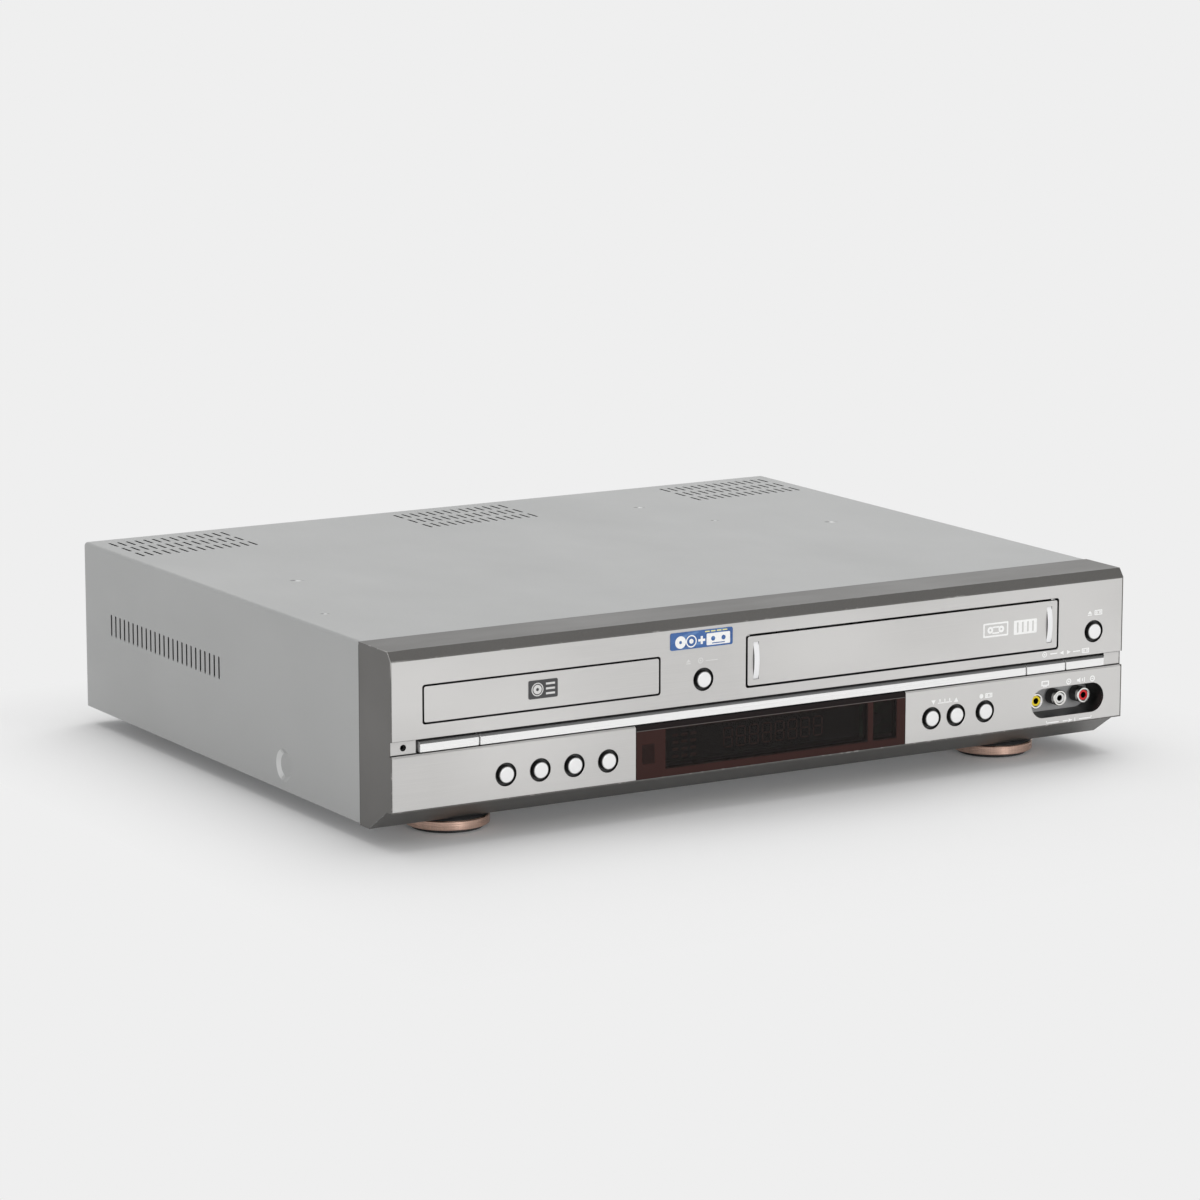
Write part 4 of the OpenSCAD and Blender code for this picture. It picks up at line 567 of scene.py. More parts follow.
def insert_plastic(colour_name):
    plastic = moulded("socket_" + colour_name, SOCKET_COLOURS[colour_name], 0.3, FINE)
    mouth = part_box("jack_insert_" + colour_name)[0].y
    plastic.layer(plastic.past(plastic.axes()[1], mouth + 0.5 * MM, 0.2 * MM), HOLE_SHADE)
    return plastic.material


for colour_name in SOCKET_COLOURS:
    finishes["socket_" + colour_name] = insert_plastic(colour_name)
print("inserts:", list(SOCKET_COLOURS))

# %% [markdown]
# ## Bare metals
# The feet wear a turned ring of rose-copper anodised aluminium. A turning tool leaves rings, so its
# pattern changes almost only with height. The drum, the screws and the sockets' shells are machined
# or plated in the same way, each with its own colour.

# %% Turned and plated metals
def turned_metal(name, colour, roughness, stretch=(0.02, 0.02, 1), lines=3000.0, groove=0.01):
    """Metal with turned grooves, whose depth is in millimetres: they spread a highlight across them."""
    metal = Finish(name, colour, roughness, 1.0)
    rings = metal.noise(lines, stretch, 2)
    metal.shade(metal.remap(rings, 0.35, 0.7), 0.85)
    metal.rough(rings, roughness - 0.06, roughness + 0.08)
    metal.bump(rings, groove * MM, 0.6)
    return metal


def foot_ring():
    """The ring's turned outside is anodised. Its upper face and its lower one get a black painted shade."""
    ring = turned_metal("copper_anodised", (0.85, 0.58, 0.47), 0.27, groove=0.06)
    # Darker vertical streaks: painted banding of the ring's highlight
    ring.shade(ring.remap(ring.noise(1500, (1, 1, 0.02), 2), 0.4, 0.65), 0.85)
    level = ring.math("ABSOLUTE", ring.facing()[2])
    ring.layer(ring.past(level, 0.8, 0.05), (0.015, 0.013, 0.012))
    return ring.material


finishes["copper_ring"] = foot_ring()
finishes["drum_metal"] = turned_metal("drum_metal", (0.74, 0.75, 0.76), 0.18).material
finishes["screw_steel"] = turned_metal("screw_steel", (0.6, 0.6, 0.6), 0.28, (1, 1, 1), 900.0).material
finishes["pulley_brass"] = turned_metal("pulley_brass", (0.72, 0.55, 0.25), 0.24).material
finishes["socket_metal"] = turned_metal("socket_plating", (0.9, 0.89, 0.86), 0.2, (1, 0.1, 1)).material
print("metal finishes ready")

# %% [markdown]
# ## Pieces of two colours
# A circuit board is one CAD node with its parts, and so is the floor of the socket recess with
# the sockets' black bodies. Such a piece changes its colour with its place: everything above the
# board's own level gets the colours of chips and cans, and the board itself keeps its lacquer.

# %% Boards with parts on them
BOARD_THICKNESS = 1.6 * MM
PARTS_CLEAR = 0.1 * MM
GREEN_LACQUER = (0.02, 0.13, 0.05)
BROWN_LACQUER = (0.3, 0.17, 0.05)


def board(name, lacquer, axis, level, above=True):
    """A board whose parts start at a level along one axis, 0 for x to 2 for z."""
    finish = Finish(name, lacquer, 0.32)
    tracks = finish.cells(260)
    finish.shade(finish.remap(tracks, 0.42, 0.5, 0, 0.7), 1.9)
    starts = finish.past if above else finish.short_of
    parts = starts(finish.axes()[axis], level)
    cans = finish.remap(finish.random_cells(45), 0.55, 0.6)
    finish.layer(parts, (0.03, 0.03, 0.032))
    finish.layer(finish.math("MULTIPLY", parts, cans), (0.42, 0.42, 0.44))
    finish.bump(tracks, 0.03 * MM, 0.4)
    return finish.material


parts_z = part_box("main_board")[0].z + BOARD_THICKNESS + PARTS_CLEAR
parts_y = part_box("front_board")[1].y - BOARD_THICKNESS - PARTS_CLEAR
node_finish.update({
    "main_board": board("main_board", GREEN_LACQUER, 2, parts_z),
    "front_board": board("front_board", GREEN_LACQUER, 1, parts_y, above=False),
    "power_supply": board("power_board", BROWN_LACQUER, 2, parts_z),
})
print("boards: main_board, front_board and power_supply")

# %% Recess floor and socket bodies
# The black bodies end and the grey floor starts this far behind the front board's foremost point
RECESS_FLOOR = 1.5 * MM


def socket_block():
    finish = Finish("socket_block", (0.5, 0.5, 0.5), 0.36)
    floor_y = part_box("front_board")[0].y + RECESS_FLOOR
    finish.layer(finish.short_of(finish.axes()[1], floor_y), (0.02, 0.019, 0.018))
    finish.bump(finish.cells(1600), 0.02 * MM, 0.5)
    finish.rough(finish.noise(90), 0.35, 0.5)
    return finish.material


finishes["socket_grey"] = socket_block()
print("recess floor ready")

# %% Sockets on the rear panel
panel_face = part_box("rear_panel")[1].y
REAR_COLUMNS, REAR_ROWS = (82.0, 96.0, 110.0), (20.0, 34.0, 48.0)
AERIAL_X, AERIAL_ROWS = 168.0, (20.0, 48.0)
INLET_X, INLET_Z, PIN_OUT = -170.0, 30.0, 4.3
# Radii of an inlet pin, a phono socket's hole and an aerial socket's core, and the thread's pitch
PIN_R, HOLE_R, CORE_R, THREAD_PITCH = 1.3, 1.8, 3.85, 0.9
# All sockets but the inlet lie past the first x, and the aerial sockets past the second
PHONO_FROM, AERIAL_FROM = 70 * MM, 150 * MM


def rear_metals():
    """One node holds them all: black plastic, with nickel shells, threads and pins where they are."""
    finish = moulded("connector_mix", (0.02, 0.02, 0.021), 0.4)
    x, y, _ = finish.axes()
    flat = finish.place((1, 0, 1))

    def near(px, pz, radius):
        spot = at(px, 0, pz)
        return finish.short_of(finish.distance(flat, (spot.x, 0, spot.z)), radius * MM)

    sockets = finish.past(x, PHONO_FROM)
    shells = finish.all_of(finish.past(y, panel_face + 0.6 * MM), sockets)
    pins = [near(INLET_X + side * PIN_OUT, INLET_Z, PIN_R) for side in (-1, 1)]
    nickel = finish.any_of(shells, *pins)
    finish.layer(nickel, (0.78, 0.77, 0.73))
    finish.drive("Metallic", nickel)
    holes = [near(px, pz, HOLE_R) for px in REAR_COLUMNS for pz in REAR_ROWS]
    # Dark painted shade in the phono sockets' holes
    finish.layer(finish.all_of(sockets, finish.any_of(*holes)), HOLE_SHADE)
    cores = [near(AERIAL_X, pz, CORE_R) for pz in AERIAL_ROWS]
    finish.layer(finish.any_of(*cores), (0.8, 0.79, 0.74))
    thread = finish.math("SINE", finish.math("MULTIPLY", y, 2 * math.pi / (THREAD_PITCH * MM)))
    finish.bump(finish.math("MULTIPLY", thread, finish.past(x, AERIAL_FROM)), 0.2 * MM, 0.8)
    return finish.material


finishes["connector_mix"] = rear_metals()
print("rear sockets:", len(REAR_COLUMNS) * len(REAR_ROWS), "phono and", len(AERIAL_ROWS), "aerial")

# %% Give every CAD node its finish
def dress(obj, material):
    obj.data.materials.clear()
    obj.data.materials.append(material)


def finish_of(node):
    """A node's own finish, or else that of its material slot."""
    return node_finish.get(node, finishes.get(slot_of[node]))


for node, obj in frame["nodes"].items():
    dress(obj, finish_of(node))
print("finished nodes:", len(frame["nodes"]))

# %% [markdown]
# ## Softened edges
# A moulded or bent piece never has a knife edge: the small radius at each edge catches a line of
# light, and that line is what tells the eye where one plate ends and the next begins. The CAD solid
# stays as it is, and a copy of its mesh stands in for it. The copy's loose triangles are merged,
# flat regions are joined to one face each, and a Bevel modifier rounds what is left.

# %% Copy a node and round its edges
FLAT = math.radians(1.0)
SHARP = math.radians(28)
MERGE = 0.002 * MM
BEVEL_SEGMENTS = 2
# Width of the rounding on each softened node, in millimetres
EDGE_WIDTHS = {
    "front_frame": 0.2, "upper_fascia": 0.12, "lower_fascia": 0.15, "trim_bar": 0.12,
    "power_button": 0.12, "disc_select_button": 0.12, "tape_select_button": 0.12,
    "cassette_door": 0.15, "tray_front": 0.15, "display_window": 0.12, "disc_tray": 0.3,
}


def apply_modifiers(obj):
    """Turns an object with modifiers into one with a plain mesh."""
    graph = bpy.context.evaluated_depsgraph_get()
    baked = bpy.data.meshes.new_from_object(obj.evaluated_get(graph))
    obj.modifiers.clear()
    obj.data = baked


def soften(node, width):
    """A copy of a CAD node with rounded edges, which stands for it."""
    mesh = bmesh.new()
    mesh.from_mesh(frame["nodes"][node].data)
    bmesh.ops.remove_doubles(mesh, verts=mesh.verts, dist=MERGE)
    bmesh.ops.dissolve_limit(mesh, angle_limit=FLAT, verts=mesh.verts, edges=mesh.edges)
    data = bpy.data.meshes.new(node + "_soft")
    mesh.to_mesh(data)
    mesh.free()
    piece = new_object(node + "_soft", data)
    bevel = piece.modifiers.new("edges", "BEVEL")
    bevel.width = width * MM
    bevel.segments = BEVEL_SEGMENTS
    bevel.limit_method = "ANGLE"
    bevel.angle_limit = SHARP
    bevel.use_clamp_overlap = True
    bevel.harden_normals = False
    apply_modifiers(piece)
    dress(piece, finish_of(node))
    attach(piece, body_of[node])
    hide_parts(node)
    return piece


softened = {node: soften(node, width) for node, width in EDGE_WIDTHS.items()}
print("softened:", {node: len(piece.data.polygons) for node, piece in softened.items()})

# %% [markdown]
# ## Printed signs
# The front carries small white signs, screen-printed with a thick ink. They are flat outlines:
# discs, cassettes, triangles and lines, and no words. Each outline, with its holes, is split into
# triangles and given the ink's thickness, and it lies on the face of the piece that carries it. A
# painted mask in the material would need one formula for each sign, and real ink stands up a little
# and catches the light at its edge.

# %% Outlines of signs, in millimetres across the front face
CIRCLE_STEPS = 28
CORNER_STEPS = 5
# A sharp corner is two points this close together
SHARP_CORNER = 1e-4


def circle(x, z, radius):
    turns = [2 * math.pi * i / CIRCLE_STEPS for i in range(CIRCLE_STEPS)]
    return [(x + radius * math.cos(t), z + radius * math.sin(t)) for t in turns]


def plate(x, z, width, height, corner=0.0):
    """A rectangle about (x, z), with round corners if they have a radius."""
    steps = CORNER_STEPS if corner else 1
    corner = corner or SHARP_CORNER
    points = []
    for quarter, (side, up) in enumerate([(1, 1), (-1, 1), (-1, -1), (1, -1)]):
        for i in range(steps + 1):
            turn = math.pi / 2 * (quarter + i / steps)
            points.append((x + side * (width / 2 - corner) + corner * math.cos(turn),
                           z + up * (height / 2 - corner) + corner * math.sin(turn)))
    return points


print("a circle has", len(circle(0, 0, 1)), "points, a round-cornered plate", len(plate(0, 0, 4, 2, 0.5)))

# %% Shapes and signs made of those outlines
# A shape is a list of loops, the outline first and its holes after it. A sign is a list of shapes
def bar(x, z, width, height):
    return [plate(x, z, width, height)]


def dot(x, z, radius):
    return [circle(x, z, radius)]


def ring(x, z, radius, hole):
    return [circle(x, z, radius), circle(x, z, hole)]


def triangle(x, z, width, height):
    """Points up, or down if its height is less than 0."""
    return [[(x - width / 2, z - height / 2), (x + width / 2, z - height / 2), (x, z + height / 2)]]


def arrow(x, z, width, height):
    """Points right, or left if its width is less than 0."""
    return [[(x - width / 2, z - height / 2), (x + width / 2, z), (x - width / 2, z + height / 2)]]


def disc_sign(x, z, radius):
    return [ring(x, z, radius, 0.68 * radius), dot(x, z, 0.3 * radius)]


def cassette_sign(x, z, width, height, line=0.55):
    """A frame with two reels."""
    reel = 0.24 * height
    outside = plate(x, z, width, height, 0.6 * line)
    inside = plate(x, z, width - 2 * line, height - 2 * line, 0.2 * line)
    reels = [ring(x + side * 0.22 * width, z, reel, 0.35 * reel) for side in (-1, 1)]
    return [[outside, inside], *reels]


def eject_sign(x, z, width):
    """A triangle over a line."""
    return [triangle(x, z + 0.25 * width, width, 0.6 * width), bar(x, z - 0.3 * width, width, 0.2 * width)]


print("shapes in a cassette sign:", len(cassette_sign(0, 0, 4, 2)))

# %% Ink and badge finishes
def ink(name, colour, roughness=0.5):
    layer = Finish(name, colour, roughness)
    layer.shade(layer.remap(layer.noise(900, detail=2), 0.45, 0.7, 0, 0.6), 0.9)
    layer.rough(layer.noise(500), roughness - 0.05, roughness + 0.1)
    return layer.material


def badge_print():
    """Blue print with pale and dark clouds, under a clear film."""
    film = Finish("badge_blue", (0.045, 0.13, 0.36), 0.25)
    pale_clouds = film.noise(140, (1, 1, 2.2), 4)
    dark_clouds = film.noise(70, detail=2)
    film.layer(film.remap(pale_clouds, 0.5, 0.72, 0, 0.75), (0.17, 0.32, 0.6))
    film.layer(film.remap(dark_clouds, 0.55, 0.7, 0, 0.7), (0.03, 0.085, 0.27))
    film.rough(film.noise(200), 0.22, 0.34)
    return film.material


WHITE_INK = ink("white_ink", (0.94, 0.94, 0.93))
FAINT_INK = ink("faint_ink", (0.7, 0.695, 0.685))
YELLOW_INK = ink("pale_yellow_ink", (0.8, 0.76, 0.3))
DARK_PLATE = moulded("dark_plate", (0.05, 0.05, 0.052), 0.35, POLISHED).material
BADGE = badge_print()
print("inks ready")

# %% Make flat shapes into a thin skin on a face
INK_THICK = 0.05


def face_outwards(data):
    shell = bmesh.new()
    shell.from_mesh(data)
    bmesh.ops.recalc_face_normals(shell, faces=shell.faces)
    shell.to_mesh(data)
    shell.free()


def stamp(name, shapes, carrier, material, base=0.0, thick=INK_THICK):
    """A sign as one piece on the node that carries it. Base is the depth in y that it lies on."""
    verts, faces = [], []
    for loops in shapes:
        start = len(verts)
        flat = [point for loop in loops for point in loop]
        for level in (base - thick, base):
            verts += [at(x, level, z) for x, z in flat]
        for tri in tessellate_polygon([[Vector((x, z, 0)) for x, z in loop] for loop in loops]):
            faces.append([start + i for i in tri])
            faces.append([start + len(flat) + i for i in reversed(tri)])
        first = start
        for loop in loops:
            for i in range(len(loop)):
                a, b = first + i, first + (i + 1) % len(loop)
                faces.append([a, b, b + len(flat), a + len(flat)])
            first += len(loop)
    data = bpy.data.meshes.new(name)
    data.from_pydata(verts, [], faces)
    face_outwards(data)
    piece = new_object(name, data)
    dress(piece, material)
    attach(piece, body_of[carrier])


print("ink is", INK_THICK, "mm thick")

# %% Signs on the front
# Each shape gives its middle as x and z first, and then its own sizes.
# The signs over the lower buttons stand at this height
ROW_Z = 31.1
# Four slots cut out of a solid white plate
door_slots = [plate(148.3 + 3.2 * i, 64.6, 1.0, 5.4, 0.3) for i in range(4)]
signs = {
    "eject_signs": ("upper_fascia", eject_sign(194.0, 67.3, 2.7) + cassette_sign(199.4, 67.5, 4.9, 2.7)),
    "select_signs": ("upper_fascia", [
        *disc_sign(165.6, 48.6, 1.45), bar(171.4, 48.6, 4.4, 0.6), bar(185.9, 48.4, 4.4, 0.6),
        arrow(176.4, 48.5, -2.4, 2.2), arrow(181.0, 48.5, 2.4, 2.2),
        *cassette_sign(191.6, 48.2, 4.6, 2.6)]),
    "channel_signs": ("lower_fascia", [
        triangle(96.6, ROW_Z, 2.7, -2.3), triangle(110.6, ROW_Z, 2.7, 2.3),
        bar(103.6, ROW_Z - 0.7, 8.6, 0.6), *[bar(x, ROW_Z + 0.3, 0.7, 1.8) for x in (100.6, 103.6, 106.6)]]),
    "record_signs": ("lower_fascia", [dot(126.2, ROW_Z, 1.2), *cassette_sign(130.9, ROW_Z, 4.4, 2.4)]),
    "socket_signs": ("lower_fascia", [
        # A screen on its foot over the yellow socket, a ring over each of the others, and between
        # those two a loudspeaker with two waves
        [plate(166.3, 33.5, 4.8, 2.7, 0.3), plate(166.3, 33.5, 3.4, 1.4, 0.1)], bar(166.3, 31.8, 2.4, 0.4),
        ring(181.3, 32.9, 1.6, 1.0), dot(181.3, 32.9, 0.5),
        ring(196.4, 32.9, 1.6, 1.0), bar(196.4, 32.9, 1.2, 0.5),
        [[(186.6, 32.3), (187.5, 32.3), (188.7, 31.5), (188.7, 34.3), (187.5, 33.5), (186.6, 33.5)]],
        bar(190.0, 32.9, 0.55, 1.5), bar(191.3, 32.9, 0.55, 2.5)]),
    "input_signs": ("lower_fascia", [
        bar(171.4, 12.45, 7.8, 0.6), bar(167.6, 12.9, 0.6, 1.1),
        bar(192.2, 12.45, 7.8, 0.6), bar(196.0, 12.9, 0.6, 1.1),
        bar(179.6, 12.45, 3.4, 0.5), arrow(182.8, 12.45, 2.4, 1.9), bar(185.6, 12.45, 0.5, 1.9)]),
    "door_signs": ("cassette_door", [
        *cassette_sign(134.6, 64.9, 15.6, 7.4, 0.9),
        bar(134.6, 66.2, 4.2, 0.8), bar(134.6, 63.2, 4.2, 0.8),
        [plate(153.1, 64.6, 14.4, 7.4, 0.5), *door_slots]]),
}
for name, (carrier, shapes) in signs.items():
    stamp(name, shapes, carrier, WHITE_INK)
open_signs = [*eject_sign(-49.6, 67.3, 2.6), *disc_sign(-42.6, 67.4, 1.5), bar(-36.2, 67.0, 7.0, 0.4)]
stamp("disc_eject_signs", open_signs, "upper_fascia", FAINT_INK)
print("signs:", len(signs) + 1)

# %% [markdown]
# ## Blue badge and the tray's small plate
# A blue printed badge sits between the tray and the cassette door, and a small dark plate on the
# tray's front. Both are thin plates with round corners, and plain signs of what the player takes
# are on them: two discs, a plus and a cassette under a row of small yellow bars on the badge, and
# a disc beside three bars on the plate. The place at the upper left corner, over the tray, stays
# bare.

# %% Blue badge
BADGE_AT, BADGE_SIZE, BADGE_CORNER, BADGE_THICK = (-42.2, 78.25), (36.0, 8.7), 1.0, 0.3
bx, bz = BADGE_AT
sign_z = bz - 0.6
badge_signs = [
    ring(bx - 12.2, sign_z, 3.1, 0.8),
    ring(bx - 6.0, sign_z, 3.1, 2.5), dot(bx - 6.0, sign_z, 1.2),
    bar(bx, sign_z, 4.0, 1.2), bar(bx, bz + 0.7, 1.2, 1.4), bar(bx, bz - 1.9, 1.2, 1.4),
    [plate(bx + 9.6, sign_z, 13.6, 5.9, 0.6), circle(bx + 6.6, bz - 0.4, 1.2),
     circle(bx + 12.6, bz - 0.4, 1.2), plate(bx + 9.6, bz - 2.7, 7.4, 0.5)],
]
badge_line = [bar(bx + 6.6 + 3.4 * i, bz + 3.4, 2.6, 0.6) for i in range(-1, 3)]
badge = [[plate(*BADGE_AT, *BADGE_SIZE, BADGE_CORNER)]]
stamp("badge_plate", badge, "upper_fascia", BADGE, thick=BADGE_THICK)
stamp("badge_signs", badge_signs, "upper_fascia", WHITE_INK, base=-BADGE_THICK)
stamp("badge_line", badge_line, "upper_fascia", YELLOW_INK, base=-BADGE_THICK)
print("badge", BADGE_SIZE, "mm with", len(badge_signs) + len(badge_line), "shapes")

# %% The tray's plate
PLATE_AT, PLATE_SIZE, PLATE_CORNER, PLATE_THICK = (-131.9, 62.9), (16.2, 9.1), 0.8, 0.25
px, pz = PLATE_AT
plate_signs = [
    ring(px - 3.2, pz, 3.3, 2.8), ring(px - 3.2, pz, 2.3, 0.8),
    *[bar(px + 4.0, pz + up, 5.0, 1.0) for up in (2.4, 0, -2.4)],
]
tray_plate = [[plate(*PLATE_AT, *PLATE_SIZE, PLATE_CORNER)]]
stamp("tray_plate", tray_plate, "tray_front", DARK_PLATE, thick=PLATE_THICK)
stamp("tray_plate_signs", plate_signs, "tray_front", FAINT_INK, base=-PLATE_THICK)
print("tray plate", PLATE_SIZE, "mm with", len(plate_signs), "shapes")

# %% [markdown]
# ## Rows of equal pieces
# The display's digits, its small marks and the collars of the rear sockets repeat on an even pitch.
# Geometry Nodes put one small mesh on every point of a grid that stands upright in the front's
# plane, and make the result real. Its inputs are the mesh, the counts and the pitches, so one tree
# serves every row. Copies made in a loop would do too, but would leave nothing to adjust.

# %% A tree that sets a mesh on an upright grid
GRID_INPUTS = [
    ("Shape", "Object"), ("Columns", "Int"), ("Rows", "Int"), ("Pitch X", "Float"),
    ("Pitch Z", "Float"), ("Centre", "Vector"), ("Material", "Material"),
]


def grid_tree():
    tree = bpy.data.node_groups.new("upright_grid", "GeometryNodeTree")
    new_socket = tree.interface.new_socket
    new_socket("Geometry", in_out="INPUT", socket_type="NodeSocketGeometry")
    for name, kind in GRID_INPUTS:
        new_socket(name, in_out="INPUT", socket_type="NodeSocket" + kind)
    new_socket("Geometry", in_out="OUTPUT", socket_type="NodeSocketGeometry")
    given = tree.nodes.new("NodeGroupInput").outputs

    def length(count, pitch):
        gaps = new_node(tree, "ShaderNodeMath", {0: given[count], 1: 1.0}, operation="SUBTRACT")
        links = {0: gaps.outputs[0], 1: given[pitch]}
        return new_node(tree, "ShaderNodeMath", links, operation="MULTIPLY").outputs[0]

    grid = new_node(tree, "GeometryNodeMeshGrid", {
        "Size X": length("Columns", "Pitch X"), "Size Y": length("Rows", "Pitch Z"),
        "Vertices X": given["Columns"], "Vertices Y": given["Rows"]})
    stood = new_node(tree, "GeometryNodeTransform", {
        "Geometry": grid.outputs["Mesh"], "Rotation": (math.pi / 2, 0, 0), "Translation": given["Centre"]})
    shape = new_node(tree, "GeometryNodeObjectInfo", {"Object": given["Shape"]})
    copies = new_node(tree, "GeometryNodeInstanceOnPoints", {
        "Points": stood.outputs["Geometry"], "Instance": shape.outputs["Geometry"]})
    real = new_node(tree, "GeometryNodeRealizeInstances", {"Geometry": copies.outputs["Instances"]})
    painted = new_node(tree, "GeometryNodeSetMaterial", {
        "Geometry": real.outputs["Geometry"], "Material": given["Material"]})
    new_node(tree, "NodeGroupOutput", {"Geometry": painted.outputs["Geometry"]})
    return tree


GRID_TREE = grid_tree()
print("tree inputs:", [item.name for item in GRID_TREE.interface.items_tree if item.in_out == "INPUT"])

# %% Use the tree for one row
def repeat(name, shape, counts, pitches, centre, material, carrier):
    """Copies of a mesh in (columns, rows) at pitches in millimetres, as one piece on a body."""
    piece = new_object(name, bpy.data.meshes.new(name))
    modifier = piece.modifiers.new("grid", "NODES")
    modifier.node_group = GRID_TREE
    values = {"Shape": shape, "Columns": counts[0], "Rows": counts[1], "Pitch X": pitches[0] * MM,
              "Pitch Z": pitches[1] * MM, "Centre": tuple(centre), "Material": material}
    for item in GRID_TREE.interface.items_tree:
        if item.in_out == "INPUT" and item.name in values:
            modifier[item.identifier] = values[item.name]
    apply_modifiers(piece)
    bpy.data.objects.remove(shape)
    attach(piece, body_of[carrier])


def loose(name, verts, faces):
    """A mesh about its own origin, in millimetres, that is only used as a row's shape."""
    data = bpy.data.meshes.new(name)
    data.from_pydata([Vector(v) * MM for v in verts], [], faces)
    face_outwards(data)
    return new_object(name, data)


def prism(outlines, y0, y1):
    """Walls and caps of outlines in x and z, between two depths."""
    verts, faces = [], []
    for outline in outlines:
        start, count = len(verts), len(outline)
        verts += [(x, y0, z) for x, z in outline] + [(x, y1, z) for x, z in outline]
        faces += [list(range(start, start + count)), list(range(start + count, start + 2 * count))]
        for i in range(count):
            a, b = start + i, start + (i + 1) % count
            faces.append([a, b, b + count, a + count])
    return verts, faces


def turned_ring(profile, steps):
    """A closed ring from a profile of (radius, y) about the y axis."""
    verts, faces = [], []
    count = len(profile)
    for i in range(steps):
        turn = 2 * math.pi * i / steps
        verts += [(r * math.cos(turn), y, r * math.sin(turn)) for r, y in profile]
        for j in range(count):
            a, b = i * count + j, i * count + (j + 1) % count
            c, d = (i + 1) % steps * count + (j + 1) % count, (i + 1) % steps * count + j
            faces.append([a, b, c, d])
    return verts, faces


print("row helpers ready")

# %% [markdown]
# ## Digits of the display
# Behind the window is a vacuum display. Switched off, its segments are dull grey-brown strips of
# phosphor on dark glass, just visible through the smoke. One digit is seven strips, and the row
# repeats it. Small oblong marks stand in three columns at the left of the digits.

# %% Unlit digits
PHOSPHOR = ink("unlit_phosphor", (0.2, 0.07, 0.05), 0.6)
DIGIT_COUNT, DIGIT_PITCH, DIGIT_SIZE = 8, 7.6, (5.0, 9.6)
MARK_COUNTS, MARK_PITCHES, MARK_SIZE = (3, 4), (5.2, 3.6), (3.4, 1.6)
STRIP_WIDTH, STRIP_GAP = 0.9, 0.4
glass_y = (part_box("display_tube")[0].y - face_y) / MM
digits_at = at(4, glass_y, 25.4)
marks_at = at(-48, glass_y, 24.6)


def strip(x, z, length, upright):
    """One segment: a bar with pointed ends."""
    half, side = length / 2, STRIP_WIDTH / 2
    along = [(-half, 0), (-half + side, side), (half - side, side),
             (half, 0), (half - side, -side), (-half + side, -side)]
    return [(x + b, z + a) if upright else (x + a, z + b) for a, b in along]


def row(name, outlines, counts, pitches, centre):
    shape = loose(name, *prism(outlines, -INK_THICK, 0))
    repeat("display_" + name, shape, counts, pitches, centre, PHOSPHOR, "display_tube")


wide, tall = DIGIT_SIZE
segments = [strip(0, z, wide - STRIP_GAP, False) for z in (-tall / 2, 0, tall / 2)]
for x in (-wide / 2, wide / 2):
    segments += [strip(x, z, tall / 2 - STRIP_GAP, True) for z in (-tall / 4, tall / 4)]
row("digits", segments, (DIGIT_COUNT, 1), (DIGIT_PITCH, 0), digits_at)
row("marks", bar(0, 0, *MARK_SIZE), MARK_COUNTS, MARK_PITCHES, marks_at)
print("digits:", DIGIT_COUNT, "of", DIGIT_SIZE, "mm")

# %% [markdown]
# ## The rear panel
# Every phono socket has a coloured collar of plastic in its mouth: yellow for the picture, white
# and red for the two sound channels. Three collars of one colour stand in each column, so the row
# helper sets one turned ring three times. Plain frames and arrows in dark ink say which sockets
# belong together, and which way the signal goes.

# %% Coloured collars
COLLAR = [(1.8, -0.78), (3.3, -0.78), (3.3, -0.35), (3.05, -0.2), (2.05, -0.2), (1.8, -0.35)]
COLLAR_STEPS = 32
socket_mouth = (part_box("rear_sockets")[1].y - face_y) / MM
row_pitch = REAR_ROWS[1] - REAR_ROWS[0]
for column, colour_name in zip(REAR_COLUMNS, ("red", "white", "yellow")):
    collar = loose("collar", *turned_ring(COLLAR, COLLAR_STEPS))
    plastic = moulded("collar_" + colour_name, SOCKET_COLOURS[colour_name], 0.3, FINE).material
    repeat("rear_collars_" + colour_name, collar, (1, len(REAR_ROWS)), (0, row_pitch),
           at(column, socket_mouth, REAR_ROWS[1]), plastic, "rear_sockets")
print("collar columns:", len(REAR_COLUMNS))

# %% Printed frames and arrows
DARK_INK = ink("dark_ink", (0.05, 0.05, 0.052))
FRAME_CORNER, FRAME_LINE, FRAME_HEIGHT = 2.0, 0.4, 46
ARROW_OUT, ARROW_SIZE, UNDERLINE_DROP = 28, 4.0, 3.4
panel_out = (panel_face - face_y) / MM + INK_THICK


def frame_line(x, z, width, height):
    """A line round a field, with round corners."""
    return [plate(x, z, width, height, FRAME_CORNER),
            plate(x, z, width - 2 * FRAME_LINE, height - 2 * FRAME_LINE, FRAME_CORNER - FRAME_LINE)]


phono_x, phono_z = REAR_COLUMNS[1], REAR_ROWS[1]
arrow_x = phono_x + ARROW_OUT
rear_signs = [
    frame_line(phono_x, phono_z, 44, FRAME_HEIGHT), frame_line(AERIAL_X, phono_z, 24, FRAME_HEIGHT),
    frame_line(INLET_X, INLET_Z, 32, 24),
    *[arrow(arrow_x, z, way * ARROW_SIZE, ARROW_SIZE) for z, way in zip(REAR_ROWS, (1, -1, -1))],
    *[bar(arrow_x, z - UNDERLINE_DROP, 3.0, 0.7) for z in REAR_ROWS],
    triangle(AERIAL_X, phono_z + 1.2, 4.4, -3.4), bar(AERIAL_X, phono_z - 1.8, 0.6, 3.6),
]
stamp("rear_signs", rear_signs, "rear_panel", DARK_INK, base=panel_out)
print("rear signs:", len(rear_signs))

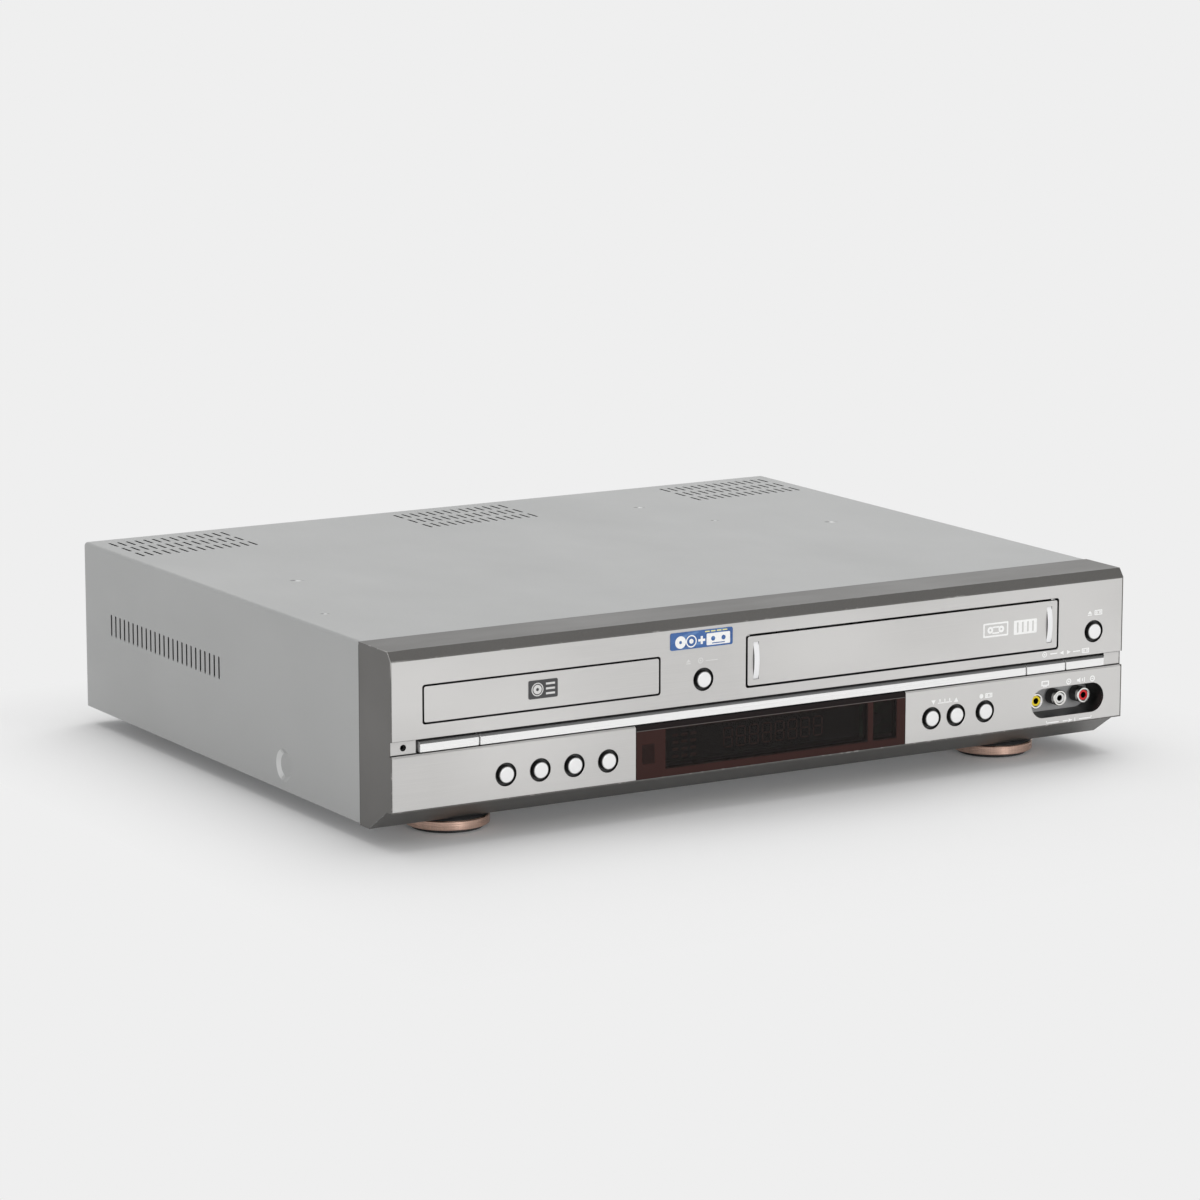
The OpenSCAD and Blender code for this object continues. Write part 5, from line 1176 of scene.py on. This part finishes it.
# %% [markdown]
# ## Studio
# The case stands on a pale floor under plain, soft light: one wide sun from above, one from behind
# at the right, two low ones from the front and a faint one from the left. The floor reads as a pale
# grey up to the horizon, and keeps the soft shadow close to the case. Suns light the floor evenly,
# where lamps close by would leave a bright pool on it. The backdrop's paleness is a colour that only
# the camera, gloss and glass see, so it doesn't brighten the matt surfaces.

# %% World
BACKDROP = 0.863
CEILING = 0.28
SKY_LIGHT = 0.5
# The backdrop turns into the studio's darker ceiling between these two heights of a direction
CEILING_FROM, CEILING_FULL = 0.25, 0.85
WHITE = (1, 1, 1, 1)


def seen(tree):
    """1 for a ray that shows something to the camera, straight or by gloss or glass."""
    path = new_node(tree, "ShaderNodeLightPath").outputs
    either = path["Is Camera Ray"]
    for kind in ("Is Glossy Ray", "Is Transmission Ray"):
        links = {0: either, 1: path[kind]}
        either = new_node(tree, "ShaderNodeMath", links, operation="MAXIMUM").outputs[0]
    return either


world = bpy.data.worlds.new("studio")
bpy.context.scene.world = world
world.use_nodes = True
sky = world.node_tree
sky.nodes.clear()
direction = new_node(sky, "ShaderNodeTexCoord").outputs["Generated"]
height = new_node(sky, "ShaderNodeSeparateXYZ", {0: direction}).outputs["Z"]
pale = new_node(sky, "ShaderNodeMapRange", {
    "Value": height, "From Min": CEILING_FROM, "From Max": CEILING_FULL,
    "To Min": BACKDROP, "To Max": CEILING}).outputs["Result"]
backdrop = new_node(sky, "ShaderNodeBackground", {"Color": WHITE, "Strength": pale})
ambient = new_node(sky, "ShaderNodeBackground", {"Color": WHITE, "Strength": SKY_LIGHT})
show = new_node(sky, "ShaderNodeMixShader", {0: seen(sky), 1: ambient.outputs[0], 2: backdrop.outputs[0]})
new_node(sky, "ShaderNodeOutputWorld", {"Surface": show.outputs[0]})
print("world nodes:", len(sky.nodes))

# %% Suns
# Each sun: compass direction it comes from (0 is behind the case, 90 its right), height, width, strength
SUNS = {
    "overhead": (20, 78, 60, 0.86),
    "key": (60, 38, 36, 0.5),
    "front_fill": (160, 24, 70, 0.45),
    "front_glint": (176, 6, 12, 0.55),
    "left_fill": (-100, 30, 80, 0.1),
}
for name, (compass, height, width, strength) in SUNS.items():
    data = bpy.data.lights.new(name, "SUN")
    data.angle = math.radians(width)
    data.energy = strength
    lamp = new_object(name, data)
    lamp.rotation_euler = (math.radians(height - 90), 0, math.radians(-compass))
print("lights:", sorted(SUNS))

# %% Floor
FLOOR_REACH = 30.0
FLOOR_COLOUR = 0.88
FLOOR_LIFT = 0.08
SIDE_FADE = (0.0, 0.1)
FRONT_FADE = (0.09, 0.22)

floor_mesh = bpy.data.meshes.new("floor")
corners = [(side * FLOOR_REACH, way * FLOOR_REACH, 0) for side, way in ((-1, -1), (1, -1), (1, 1), (-1, 1))]
floor_mesh.from_pydata(corners, [], [(0, 1, 2, 3)])
floor = new_object("floor", floor_mesh)
paper = Finish("floor_paper", (FLOOR_COLOUR, FLOOR_COLOUR, FLOOR_COLOUR), 0.9)
paper.set("Specular IOR Level", 0.0)
# A part of the floor's own paleness is plain colour, and all of it away from the case, so that its
# shadow stays close to it and the floor runs into the backdrop without a line
x, y, _ = paper.axes()
aside = paper.math("SUBTRACT", paper.math("ABSOLUTE", x), half_w)
before = paper.math("SUBTRACT", face_y, y)
behind = paper.math("SUBTRACT", y, cover_rear)
away = paper.any_of(
    paper.remap(aside, *SIDE_FADE), paper.remap(behind, *SIDE_FADE), paper.remap(before, *FRONT_FADE))
plain_share = paper.math("MULTIPLY", seen(paper.tree), paper.remap(away, 0, 1, FLOOR_LIFT, 1))
plain = paper.add("Emission", {"Color": (BACKDROP, BACKDROP, BACKDROP, 1), "Strength": 1.0})
mixed = paper.add("MixShader", {0: plain_share, 1: paper.shader.outputs[0], 2: plain.outputs[0]})
paper.tree.links.new(mixed.outputs[0], paper.tree.nodes["Material Output"].inputs["Surface"])
dress(floor, paper.material)
bpy.context.scene.view_settings.view_transform = "Standard"
print("floor laid")
